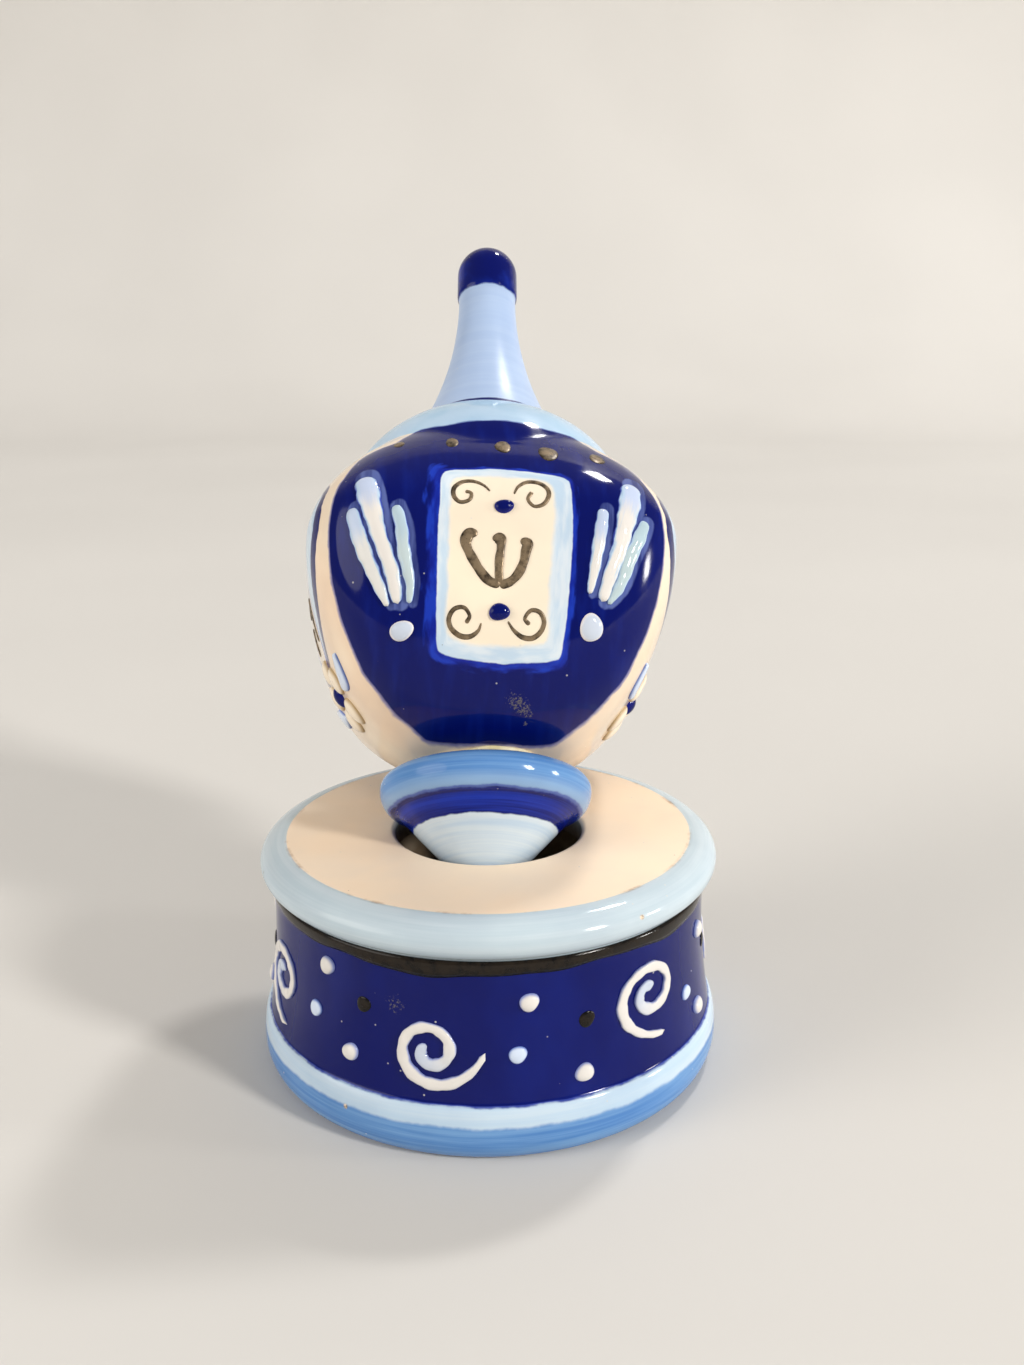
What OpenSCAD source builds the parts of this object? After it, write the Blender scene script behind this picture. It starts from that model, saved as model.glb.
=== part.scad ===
// Glazed ceramic dreidel leaning in the hole of its drum-shaped stand.
// Millimetres, +Z up, origin at the middle of the stand's underside.
// The dreidel leans back, towards +Y, and shows its front face to -Y.

/* [Stand] */
// Height of the stand, table to top plate
stand_h = 34; // [30:0.5:40]
// Radius of the wall below the rim
wall_r = 31.9; // [29:0.1:36]
// Thickness of the wall
wall_t = 4; // [3:0.1:5]
// How far the foot of the wall flares out
wall_flare = 1.5; // [0:0.1:3]
// How far the rolled rim stands out from the wall
rim_out = 1.9; // [1:0.1:4]
// Width of the rolled rim, plate edge to outside
rim_w = 4.1; // [3:0.1:6]
// Height of the rolled rim
rim_h = 5.9; // [4:0.1:8]
// How far the bottom flange stands out from the wall
flange_out = 2.6; // [2:0.1:5]
// Height of the bottom flange
flange_h = 8.1; // [6:0.1:9]
// Thickness of the top plate
plate_t = 4; // [3:0.1:6]
// Thickness of the floor
floor_t = 4; // [3:0.1:6]
// Radius of the hole in the top plate
hole_r = 13.9; // [13.2:0.05:14.5]
// Rounding of the hole's upper edge
hole_round = 0.8; // [0.3:0.1:1.5]

/* [Stand ornament] */
// Height of the lustre line under the rim
line_h = 2.4; // [1.5:0.1:4]
// Thickness of the lustre line
line_t = 0.3; // [0.2:0.05:0.5]
// Size of the spirals, centre to outer turn
spiral_r = 4.2; // [3.2:0.1:4.6]
// Turns in each spiral
spiral_turns = 1.45; // [1.2:0.05:1.8]
// Half width of a spiral's trail
spiral_w = 0.62; // [0.4:0.02:0.9]
// Height of the trail above the wall
spiral_h = 0.55; // [0.3:0.05:0.9]
// Radius of the dots on the wall
wall_dot_r = 1.2; // [0.8:0.05:1.6]
// Height of the dots on the wall
wall_dot_h = 0.6; // [0.3:0.05:1]

/* [Foot] */
// Outer radius of the foot's bead
bead_r = 15.5; // [14.8:0.05:16.2]
// Width of the bead, crown to outside
bead_w = 2.6; // [2:0.1:3.2]
// Height of the bead's upper half
bead_up = 2.2; // [1.6:0.1:3]
// Height of the bead's lower half
bead_down = 3.5; // [3:0.1:4.2]
// Length of the point below the bead's middle
point_len = 16.9; // [15:0.1:19]
// Radius of the point's blunt end
point_round = 0.8; // [0.4:0.1:1.5]
// Radius of the boss that carries the body
boss_r = 8.2; // [7:0.1:9]
// Height of the boss above the bead's middle
boss_h = 3.1; // [2.6:0.1:4]
// Radius of the spigot in the body's filling hole
spigot_r = 5; // [4:0.1:6]
// Length of the spigot above the boss
spigot_len = 5.5; // [4:0.1:8]
// Clearance round the spigots
spigot_gap = 0.3; // [0.3:0.05:0.5]
// Thickness of the glue between foot and body
glue_t = 0.5; // [0.3:0.1:1]
// How far the glue is squeezed out past the boss
glue_out = 0.9; // [0.3:0.1:1.5]

/* [Body] */
// Half width of the body, middle to face
body_w = 27.6; // [25:0.1:30]
// Height of the widest section above the glue
body_low = 30.9; // [27:0.1:34]
// Height of the shoulder above the widest section
body_high = 24.4; // [21:0.1:28]
// Squareness of the widest section, 2 is round
body_square = 4; // [2.5:0.1:6]
// Thickness of the ceramic
body_t = 3.6; // [3:0.1:4.5]
// Radius of the dome on the shoulder
dome_r = 22.9; // [20:0.1:25]
// Height of the dome's full curve
dome_h = 19.5; // [17:0.1:22]
// Radius of the body's bottom where it is glued on
body_seat_r = 8.7; // [8:0.1:10]

/* [Stem] */
// Radius of the stem where it leaves the dome
stem_base_r = 11.5; // [9:0.1:13]
// Radius of the stem at its thin end
stem_r = 4.8; // [4:0.1:6]
// Length of the stem, dome to cap
stem_len = 28; // [22:0.5:34]
// Radius of the rounded cap
cap_r = 5.1; // [4.4:0.1:6.2]
// Length of the cap's straight part
cap_len = 5; // [3:0.1:8]
// Radius of the stem's spigot in the dome
stem_pin_r = 4.5; // [3.5:0.1:6]
// Length of the stem's spigot
stem_pin_len = 6; // [4:0.1:8]

/* [Face ornament] */
// Width of the tile round the mark
tile_w = 18.2; // [15:0.1:20]
// Height of the tile
tile_h = 25; // [22:0.1:28]
// Height of the tile's middle above the bead's middle
tile_s = 25.8; // [24:0.1:27]
// Height of the mark's lettering
mark_h = 7.2; // [5:0.1:9]
// Half width of the mark's brush stroke
mark_w = 0.6; // [0.4:0.02:0.8]
// Half width of a corner scroll's line
scroll_w = 0.32; // [0.2:0.02:0.5]
// Radius of the beads above and below the mark
tile_bead_r = 1.25; // [0.8:0.05:1.6]
// Half width of the widest ray
ray_w = 1.35; // [0.9:0.05:1.7]
// Radius of the dot under each fan of rays
ray_dot_r = 1.6; // [1:0.05:2]
// Radius of the dots along the shoulder
shoulder_dot_r = 1.15; // [0.8:0.05:1.5]
// Height of the row of shoulder dots above the bead's middle
shoulder_s = 43.6; // [42:0.1:45]
// Radius of a petal
petal_r = 2; // [1.5:0.1:2.3]
// Height of the blossom's middle above the bead's middle
blossom_s = 14.5; // [13.5:0.1:16]
// Height of the trailed enamel above the glaze
relief_h = 0.55; // [0.3:0.05:0.9]
// Height of the lustre lines above the glaze
lustre_h = 0.3; // [0.2:0.05:0.5]
// How deep the enamel is fused into the glaze
fuse = 0.35; // [0.2:0.05:0.6]

/* [Pose] */
// Lean of the dreidel from upright
lean = 37.5; // [34:0.5:40]
// Turn of the dreidel about its own axis
turn = 5.5; // [-45:0.5:45]
// Gap between foot and stand where they rest
seat_gap = 0.35; // [0.3:0.05:0.8]
// How far the dreidel sits to the right of the hole's middle
side_shift = -0.3; // [-0.4:0.05:0.4]

/* [Hidden] */
$fn = 96;

// Stand sizes worked out from the ones above
rim_r = wall_r + rim_out;
plate_r = rim_r - rim_w;
flange_r = wall_r + flange_out;
wall_foot_r = wall_r + wall_flare;
wall_top = stand_h - rim_h;
line_low = wall_top - line_h;
hollow_r = wall_r - wall_t;
arc_steps = 10;
flare_steps = 6;

// A quarter of an ellipse, from angle a0 to a1, as an outline's points
function arc_points(cx, cy, rx, ry, a0, a1, n) =
    [for (i = [0:n]) let (a = a0 + (a1 - a0) * i / n) [cx + rx * cos(a), cy + ry * sin(a)]];

// Radius of the wall at height z: straight under the rim, then a flare that grows downwards
function wall_at(z) =
    let (k = min(1, max(0, (line_low - z) / (line_low - flange_h))))
    wall_r + wall_flare * k * k;

// Foot sizes: the point is a cone of 45 degrees that starts under the bead
bead_mid_r = bead_r - bead_w;
point_top = -bead_down;
point_top_r = bead_mid_r;
point_half = atan(point_top_r / (point_len + point_top));
seat_s = boss_h + glue_t;
spigot_top = boss_h + spigot_len;

// Seat of the leaning foot. In the plane of the lean, the front of the point rests on the hole's
// front edge and the bead's lower back rests on the hole's edge at both sides.
front_slope = lean - point_half;
function apex_y(apex_z) = (seat_gap + apex_z * sin(front_slope)) / cos(front_slope) - hole_r;
function foot_y_at(z) = apex_y(z - point_len * cos(lean)) + point_len * sin(lean);
function bead_circle(a) = [bead_mid_r + bead_w * cos(a), -bead_down * sin(a)];
function reach_of(c, z) =
    let (
        h = z + c[1] * cos(lean),
        y = foot_y_at(z) + c[1] * sin(lean),
        side = sqrt(max(0, c[0] * c[0] - pow(h / sin(lean), 2))) + abs(side_shift)
    )
    sqrt(side * side + pow(y + h / tan(lean), 2));
function bead_reach(z) = max([for (a = [0:6:60]) reach_of(bead_circle(a), z)]);
function seat_height(low, high, n) =
    let (mid = (low + high) / 2)
    n == 0 ? high
    : bead_reach(mid) > hole_r - seat_gap ? seat_height(mid, high, n - 1)
    : seat_height(low, mid, n - 1);
foot_z = seat_height(bead_down, bead_r, 16);
foot_y = foot_y_at(foot_z);

// Carries the dreidel from its own upright frame, middle of the bead at the origin, to its rest
module leaning() {
    translate([side_shift, foot_y, stand_h + foot_z])
        rotate([-lean, 0, 0])
            rotate([0, 0, turn])
                children();
}

// Body form: square sections with round corners whose half width follows two curved stretches,
// below and above the widest section, and a round dome that grows out of the shoulder
low_bend = 1.72;
low_power = 2.4;
high_bend = 1.43;
high_power = 2.12;
dome_bend = 2.31;
blend = 0.45;
widest_s = seat_s + body_low;
// The lower curve reaches the seat's radius exactly at the glue
low_span = body_low / pow(1 - pow(body_seat_r / body_w, low_power), 1 / low_bend);
dome_s = widest_s + body_high / 3;
top_s = dome_s + dome_h * pow(1 - pow(stem_base_r / dome_r, 2), 1 / dome_bend);
function smooth(x) = let (k = min(1, max(0, x))) k * k * (3 - 2 * k);
function soft_max(a, b) = (a + b + sqrt((a - b) * (a - b) + blend * blend)) / 2;
function half_width(s) =
    s < widest_s
    ? body_w * pow(max(0, 1 - pow((widest_s - s) / low_span, low_bend)), 1 / low_power)
    : body_w * pow(max(0, 1 - pow((s - widest_s) / body_high, high_bend)), 1 / high_power);
round_low = 15;
round_high = 24;
function squareness(s) =
    2 + (body_square - 2) * smooth((s - seat_s) / round_low + 0.3)
    * smooth((widest_s + body_high - s) / round_high);
function dome_at(s) =
    s < dome_s + 2.4 ? 0
    : dome_r * sqrt(max(0, 1 - pow((s - dome_s) / dome_h, dome_bend)));
function section_r(w, n, a) = w / pow(pow(abs(cos(a)), n) + pow(abs(sin(a)), n), 1 / n);
function body_r(s, a) = soft_max(section_r(half_width(s), squareness(s), a), dome_at(s));

// A point on a face, u across and s along the axis, for the face that looks to -Y
function square_depth(u, w, n) = abs(u) >= w ? 0 : pow(pow(w, n) - pow(abs(u), n), 1 / n);
function face_depth(u, s) =
    soft_max(square_depth(u, half_width(s), squareness(s)), sqrt(max(0, pow(dome_at(s), 2) - u * u)));
function on_face(p) = [p[0], -face_depth(p[0], p[1]), p[1]];
probe = 0.05;
function unit(v) = v / norm(v);
function face_normal(p) = unit(cross(
    on_face([p[0] + probe, p[1]]) - on_face([p[0] - probe, p[1]]),
    on_face([p[0], p[1] + probe]) - on_face([p[0], p[1] - probe])
));

// A point on the stand's wall, angle and height, and the way the wall faces there
function on_wall(p) = [wall_at(p[1]) * cos(p[0]), wall_at(p[1]) * sin(p[0]), p[1]];
function wall_normal(p) =
    let (slope = (wall_at(p[1] - probe) - wall_at(p[1] + probe)) / (2 * probe))
    unit([cos(p[0]), sin(p[0]), slope]);

// A smooth line through hand-placed points: each stretch is a cubic that keeps the directions
// of its neighbours
function cubic(a, b, c, d, t) =
    b + t * (c - a) / 2 + t * t * (a - 2.5 * b + 2 * c - d / 2) + t * t * t * (1.5 * (b - c) + (d - a) / 2);
function line_through(p, n) = [
    for (i = [0:len(p) - 2])
        for (k = [0:n - 1])
            cubic(p[max(0, i - 1)], p[i], p[i + 1], p[min(len(p) - 1, i + 2)], k / n),
    p[len(p) - 1]
];

// A raised trail of enamel: rings of a flat oval section along points on a surface, with
// rounded ends. Each row of trail holds the place, the surface's normal and the half width.
trail_sides = 6;
end_scale = 0.4;
function along(t, i) = unit(t[min(len(t) - 1, i + 1)][0] - t[max(0, i - 1)][0]);
function trail_ring(t, i, h) =
    let (
        last = len(t) - 1,
        k = i == 0 || i == last ? end_scale : 1,
        side = unit(cross(along(t, i), t[i][1]))
    )
    [for (j = [0:trail_sides - 1])
        let (a = 360 * j / trail_sides, rise = sin(a) > 0 ? h * k : fuse)
        t[i][0] + side * t[i][2] * k * cos(a) + t[i][1] * rise * sin(a)];
module trail(t, h) {
    n = len(t);
    m = trail_sides;
    points = [for (i = [0:n - 1]) each trail_ring(t, i, h)];
    sides = [
        for (i = [0:n - 2])
            for (j = [0:m - 1])
                let (a = i * m + j, b = i * m + (j + 1) % m)
                each [[a, b, b + m], [a, b + m, a + m]]
    ];
    start = [for (j = [1:m - 2]) [0, j + 1, j]];
    end = [for (j = [1:m - 2]) [(n - 1) * m, (n - 1) * m + j, (n - 1) * m + j + 1]];
    polyhedron(points = points, faces = concat(sides, start, end));
}

// A trail along [u, s, half width] points of a face, and along [angle, height] points of the wall
module face_trail(p, h) {
    trail([for (q = p) [on_face(q), face_normal(q), q[2]]], h);
}
module wall_trail(p, w, h) {
    trail([for (q = p) [on_wall(q), wall_normal(q), w]], h);
}

// A round drop of enamel: a flat cap that stands on a surface and is fused a little into it
module drop(place, normal, r, h) {
    cap_round = (r * r + h * h) / (2 * h);
    translate(place)
        rotate([0, acos(normal[2]), atan2(normal[1], normal[0])])
            rotate_extrude($fn = 32)
                intersection() {
                    translate([0, h - cap_round])
                        circle(cap_round);
                    translate([0, -fuse])
                        square([r, fuse + h]);
                }
}
module face_drop(p, r, h) {
    drop(on_face(p), face_normal(p), r, h);
}
module wall_drop(p, r, h) {
    drop(on_wall(p), wall_normal(p), r, h);
}

// Turns children onto one of the four faces: 0 front, 1 right, 2 back, 3 left
module face(k) {
    rotate([0, 0, 90 * k])
        children();
}

// The drum: a hollow pot with a rolled rim, a flared wall, a rounded flange and a hole in its top
module stand() {
    rim_mid = stand_h - rim_h / 2;
    flange_mid = flange_h * 0.45;
    color("lightsteelblue")
        difference() {
            rotate_extrude()
                polygon(concat(
                    [[0, 0], [flange_r - flange_out, 0]],
                    arc_points(flange_r - flange_out, flange_mid, flange_out, flange_mid, -90, 0, arc_steps),
                    arc_points(
                        wall_foot_r, flange_mid, flange_r - wall_foot_r, flange_h - flange_mid, 0, 90, arc_steps
                    ),
                    [for (i = [0:flare_steps]) let (z = flange_h + (line_low - flange_h) * i / flare_steps)
                        [wall_at(z), z]],
                    [[wall_r, wall_top]],
                    arc_points(plate_r, rim_mid, rim_w, rim_h / 2, -60, 90, arc_steps),
                    [[0, stand_h]]
                ));
            // hollow inside
            translate([0, 0, floor_t])
                cylinder(r = hollow_r, h = stand_h - plate_t - floor_t);
            // hole with a rounded edge
            translate([0, 0, floor_t])
                cylinder(r = hole_r, h = stand_h);
            translate([0, 0, stand_h - hole_round])
                rotate_extrude()
                    difference() {
                        square([hole_r + hole_round, 2 * hole_round]);
                        translate([hole_r + hole_round, 0])
                            circle(hole_round);
                    }
        }
}

// Lustre line round the wall, tight under the rim
module stand_lustre_line() {
    color("darkgoldenrod")
        translate([0, 0, line_low])
            difference() {
                cylinder(r = wall_r + line_t, h = line_h);
                translate([0, 0, -1])
                    cylinder(r = wall_r, h = line_h + 2);
            }
}

// Spirals stand round the wall, each at an angle chosen by hand, higher and lower by turns, by a
// share of the painted wall's height. Each winds in from a tail that swings away from its outer turn.
wall_mid = (flange_h + line_low) / 2;
wall_h = line_low - flange_h;
spiral_at = [-103, -46.5, 5, 57, 109, 158, 206];
spiral_rise = [-0.08, 0.136, -0.057, 0.102, -0.068, 0.091, 0.023];
spiral_tilt = [0, -72, 10, -80, 15, -60, -75];
spiral_size = [1, 1.2, 1.05, 1.2, 1, 1.15, 1.15];
spiral_eye = 0.3;
tail_swing = 0.6;
tail_turn = 50;
function around(x) = x / wall_r * 180 / PI;
function spiral_point(k, i, n) =
    let (
        f = i / n,
        a = 360 * spiral_turns * f,
        r = spiral_r * (spiral_eye + (1.1 - spiral_eye) * pow(1 - f, 0.8) + tail_swing * exp(-a / tail_turn))
    )
    [
        spiral_at[k] + around(r * spiral_size[k] * cos(spiral_tilt[k] - a)),
        wall_mid + wall_h * spiral_rise[k] + r * sin(spiral_tilt[k] - a)
    ];
module stand_spirals() {
    steps = round(spiral_turns * 16);
    color("white")
        for (k = [0:len(spiral_at) - 1])
            wall_trail([for (i = [0:steps]) spiral_point(k, i, steps)], spiral_w, spiral_h);
}

// Dots lie between the spirals, at a share of the way to the next one and a share of the painted
// wall's height, lifted and moved by hand from one gap to the next
gap_lift = [0.045, 0.057, -0.023, 0.057, 0.011, 0.045, 0.125];
gap_move = [0, 0.1, 0, 0.05, -0.05, 0.05, 0.025];
function gap_after(k) =
    k == len(spiral_at) - 1 ? spiral_at[0] + 360 - spiral_at[k] : spiral_at[k + 1] - spiral_at[k];
module dots_between(share, sway, rise, r) {
    for (k = [0:len(spiral_at) - 1])
        wall_drop(
            [
                spiral_at[k] + (share + sway * gap_move[k]) * gap_after(k),
                wall_mid + wall_h * (rise + gap_lift[k])
            ],
            r, wall_dot_h
        );
}
module stand_white_dots() {
    color("white") {
        dots_between(0.41, 1, 0.261, wall_dot_r);
        dots_between(0.64, -2, -0.364, wall_dot_r);
    }
}
module stand_blue_dots() {
    color("lightblue")
        dots_between(0.36, -0.5, -0.148, wall_dot_r * 0.9);
}
module stand_lustre_dots() {
    color("saddlebrown")
        dots_between(0.66, 0, 0.051, wall_dot_r);
}

// The foot: a bead, a blunt point below it and a boss with a spigot above it
module foot() {
    color("steelblue")
        leaning()
            rotate_extrude()
                polygon(concat(
                    [[0, -point_len + point_round / 2]],
                    [[point_round * cos(point_half), -point_len + point_round]],
                    arc_points(bead_mid_r, 0, bead_w, bead_down, -90, 0, arc_steps),
                    arc_points(bead_mid_r, 0, bead_w, bead_up, 9, 90, arc_steps),
                    [[boss_r, bead_up], [boss_r, boss_h], [spigot_r, boss_h]],
                    [[spigot_r, spigot_top], [0, spigot_top]]
                ));
}

// Glue between the boss and the body, with the bead that was squeezed out
module foot_glue() {
    color("khaki")
        leaning()
            translate([0, 0, boss_h])
                difference() {
                    union() {
                        cylinder(r = boss_r + glue_out, h = glue_t);
                        rotate_extrude()
                            translate([boss_r + glue_out, glue_t / 2])
                                circle(glue_t / 2, $fn = 24);
                    }
                    translate([0, 0, -1])
                        cylinder(r = spigot_r + spigot_gap, h = glue_t + 2);
                }
}

// The body's skin as rings of points from low to high, with flat ends
ring_sides = 56;
rings_low = 16;
rings_high = 16;
function outer_rings() = [
    for (i = [0:rings_low]) seat_s + body_low * (1 - cos(90 * i / rings_low)),
    for (i = [1:rings_high]) widest_s + (top_s - widest_s) * sin(90 * i / rings_high)
];
function ring_point(r, a, s) = [r * cos(a), r * sin(a), s];
module loft(heights, sides, shrink) {
    n = len(heights);
    points = [for (s = heights) for (j = [0:sides - 1])
        let (a = 360 * j / sides) ring_point(max(1, body_r(s, a) - shrink), a, s)];
    walls = [
        for (i = [0:n - 2])
            for (j = [0:sides - 1])
                let (a = i * sides + j, b = i * sides + (j + 1) % sides)
                each [[a, b + sides, b], [a, a + sides, b + sides]]
    ];
    bottom = [[for (j = [0:sides - 1]) j]];
    top = [[for (j = [0:sides - 1]) n * sides - 1 - j]];
    polyhedron(points = points, faces = concat(walls, bottom, top));
}

// The cast shell: square-sided, hollow, open below for the foot and above for the stem
hollow_sides = 32;
hollow_rings = 14;
module body() {
    hollow_low = seat_s + spigot_len;
    hollow_high = top_s - body_t - 1;
    color("midnightblue")
        leaning()
            difference() {
                loft(outer_rings(), ring_sides, 0);
                loft(
                    [for (i = [0:hollow_rings]) hollow_low + (hollow_high - hollow_low) * i / hollow_rings],
                    hollow_sides, body_t
                );
                translate([0, 0, seat_s - 1])
                    cylinder(r = spigot_r + spigot_gap, h = spigot_len + 2);
                translate([0, 0, hollow_high - 1])
                    cylinder(r = stem_pin_r + spigot_gap, h = top_s - hollow_high + 2);
            }
}

// The stem: a long concave flare that ends in a rounded cap
module stem() {
    flare_drop = stem_base_r - stem_r;
    flare_r = (stem_len * stem_len + flare_drop * flare_drop) / (2 * flare_drop);
    flare_end = asin(stem_len / flare_r);
    cap_low = top_s + stem_len;
    color("lavender")
        leaning() {
            rotate_extrude()
                polygon(concat(
                    [[0, top_s]],
                    [for (i = [0:14]) let (a = flare_end * (1 - i / 14))
                        [stem_r + flare_r * (1 - cos(a)), cap_low - flare_r * sin(a)]],
                    [[cap_r, cap_low + (cap_r - stem_r)]],
                    arc_points(0, cap_low + cap_len, cap_r, cap_r, 0, 90, arc_steps)
                ));
            translate([0, 0, top_s - stem_pin_len])
                cylinder(r = stem_pin_r, h = stem_pin_len);
        }
}

// The four game marks, drawn as plain brush strokes in a box two units wide and high
// round the tile's middle
module mark(strokes, k) {
    color("peru")
        leaning()
            face(k)
                for (p = strokes)
                    face_trail([for (q = line_through(p, 3))
                        [q[0] * mark_h / 2, tile_s - mark_h / 12 + q[1] * mark_h / 2, mark_w]], lustre_h);
}
module mark_shin() {
    mark([
        [[-1.28, 1.0], [-0.95, 0.25], [-0.6, -0.5], [-0.15, -0.98]],
        [[0.98, 0.9], [0.98, 0.3], [0.7, -0.5], [0.16, -0.98]],
        [[-0.12, 1.0], [-0.02, 0.2], [0, -0.62]]
    ], 0);
}
module mark_nun() {
    mark([[[-0.5, 0.98], [0.25, 0.9], [0.5, 0.45], [0.52, -0.5], [0.2, -0.95], [-0.6, -1]]], 1);
}
module mark_gimel() {
    mark([
        [[-0.5, 1], [0.15, 0.9], [0.42, 0.4], [0.46, -0.3], [0.6, -1]],
        [[0.05, -0.28], [-0.25, -0.6], [-0.7, -0.95]]
    ], 2);
}
module mark_hei() {
    mark([
        [[-1, 0.95], [0, 0.98], [0.75, 0.9], [0.96, 0.4], [0.95, -1]],
        [[-0.62, 0.3], [-0.68, -0.3], [-0.62, -1]]
    ], 3);
}

// Scrolls in the corners of each tile: a line that leaves the tile's middle and curls up in the
// corner, placed as shares of the tile's half width and half height
scroll_line = [
    [0.18, 0.71], [0.35, 0.84], [0.62, 0.84], [0.75, 0.71],
    [0.67, 0.58], [0.48, 0.56], [0.42, 0.65], [0.52, 0.71]
];
module corner_scrolls() {
    color("peru")
        leaning()
            for (k = [0, 2])
                face(k)
                    for (side = [-1, 1], up = [-1, 1])
                        face_trail([for (q = line_through(scroll_line, 2))
                            [side * q[0] * tile_w / 2, tile_s + up * q[1] * tile_h / 2, scroll_w]], lustre_h);
}

// Blue beads above and below each mark
module tile_beads() {
    color("navy")
        leaning()
            for (k = [0, 2], up = [-1, 1])
                face(k)
                    face_drop([0, tile_s - mark_h / 12 + up * mark_h * 0.97], tile_bead_r, relief_h);
}

// Fans of three raised rays beside each tile of the blue faces, with a dot at their foot.
// A ray runs from its top to the fan's foot; each row holds the side, the distances of top and
// foot from the tile's edge and middle as shares of the tile's height, and the share of the width.
rays = [
    [-1, [0.448, 0.224], [0.236, -0.272], 0.6],
    [-1, [0.392, 0.424], [0.172, -0.264], 1],
    [-1, [0.212, 0.24], [0.12, -0.248], 0.5],
    [1, [0.196, 0.256], [0.136, -0.176], 0.5],
    [1, [0.36, 0.448], [0.188, -0.208], 1],
    [1, [0.444, 0.24], [0.236, -0.216], 0.55]
];
ray_dot_at = [[-1, 0.164, -0.38], [1, 0.16, -0.356]];
ray_bow = 0.2;
function ray_line(ray) = [
    for (f = [0:0.2:1])
        let (p = ray[1] + (ray[2] - ray[1]) * f, bow = ray_bow * f * (1 - f) * (ray[2][0] - ray[1][0]))
        [
            ray[0] * (tile_w / 2 + tile_h * (p[0] + bow)),
            tile_s + tile_h * p[1],
            ray_w * ray[3] * (1 - 0.5 * f)
        ]
];
module ray_strokes() {
    color("aliceblue")
        leaning()
            for (k = [0, 2], ray = rays)
                face(k)
                    face_trail(ray_line(ray), relief_h);
}
module ray_dots() {
    color("lightsteelblue")
        leaning()
            for (k = [0, 2], d = ray_dot_at)
                face(k)
                    face_drop(
                        [d[0] * (tile_w / 2 + tile_h * d[1]), tile_s + tile_h * d[2]],
                        ray_dot_r, relief_h
                    );
}

// Lustre dots in a row along the shoulder of each blue face, lifted by hand by shares of their step
shoulder_step = 7;
shoulder_rise = [0.086, 0.2, 0.1, -0.086, 0];
module shoulder_dots() {
    last = len(shoulder_rise) - 1;
    color("peru")
        leaning()
            for (k = [0, 2], i = [0:last])
                face(k)
                    face_drop(
                        shoulder_step * [i - last / 2, shoulder_rise[i]] + [0, shoulder_s],
                        shoulder_dot_r, lustre_h
                    );
}

// A raised blossom low on each cream face: five petals round a blue centre, with two leaves
petals = 5;
petal_ring = petal_r * 1.8;
module flower_petals() {
    color("linen")
        leaning()
            for (k = [1, 3], i = [0:petals - 1])
                face(k)
                    let (a = 90 + 360 * i / petals)
                    face_drop([petal_ring * cos(a), blossom_s + petal_ring * sin(a)], petal_r, relief_h * 1.4);
}
module flower_centres() {
    color("navy")
        leaning()
            for (k = [1, 3])
                face(k)
                    face_drop([0, blossom_s], petal_ring * 0.42, relief_h * 2);
}
leaf_len = 6;
leaf_w = 1.5;
leaf_gap = 0.4;
module flower_leaves() {
    color("lightblue")
        leaning()
            for (k = [1, 3], side = [-1, 1])
                face(k)
                    face_trail([for (f = [0:0.125:1])
                        [side * (petal_ring + petal_r + leaf_gap + leaf_len * f),
                         blossom_s + leaf_len * (f * f / 2 - 1 / 6),
                         leaf_w * (0.2 + 0.8 * sin(180 * f))]], relief_h);
}

stand();
stand_lustre_line();
stand_spirals();
stand_white_dots();
stand_blue_dots();
stand_lustre_dots();
foot();
foot_glue();
body();
stem();
mark_shin();
mark_nun();
mark_gimel();
mark_hei();
corner_scrolls();
tile_beads();
ray_strokes();
ray_dots();
shoulder_dots();
flower_petals();
flower_centres();
flower_leaves();
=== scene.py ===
"""Hand-painted ceramic dreidel leaning in the hole of its drum stand.

Surfaces are worked out in millimetres and put into the meshes in metres.
"""
import math

import bpy
import numpy as np
from mathutils import Matrix


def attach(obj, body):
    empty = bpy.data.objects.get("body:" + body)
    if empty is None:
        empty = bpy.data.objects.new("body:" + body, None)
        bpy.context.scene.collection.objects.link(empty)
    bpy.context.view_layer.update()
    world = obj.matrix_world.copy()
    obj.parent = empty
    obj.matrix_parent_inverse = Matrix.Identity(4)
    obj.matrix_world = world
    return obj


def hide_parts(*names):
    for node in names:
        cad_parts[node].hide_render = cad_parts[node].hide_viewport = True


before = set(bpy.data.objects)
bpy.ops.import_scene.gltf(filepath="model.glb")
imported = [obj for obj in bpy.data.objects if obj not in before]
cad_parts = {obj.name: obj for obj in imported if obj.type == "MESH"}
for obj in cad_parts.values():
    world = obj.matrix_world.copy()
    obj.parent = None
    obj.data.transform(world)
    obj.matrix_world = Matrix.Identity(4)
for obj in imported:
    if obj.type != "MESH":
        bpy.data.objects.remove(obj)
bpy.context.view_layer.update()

MM = 0.001
TAU = 2 * math.pi

# Stand
STAND_H = 34.0
WALL_R = 31.9
WALL_T = 4.0
WALL_FLARE = 1.5
RIM_R = 33.8
RIM_W = 4.1
RIM_H = 5.9
FLANGE_OUT = 2.6
FLANGE_H = 8.1
PLATE_T = 4.0
FLOOR_T = 4.0
HOLE_R = 13.9
HOLE_ROUND = 0.8
LINE_H = 2.4
PLATE_R = RIM_R - RIM_W
LINE_LOW = STAND_H - RIM_H - LINE_H
WALL_MID = (FLANGE_H + LINE_LOW) / 2

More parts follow.
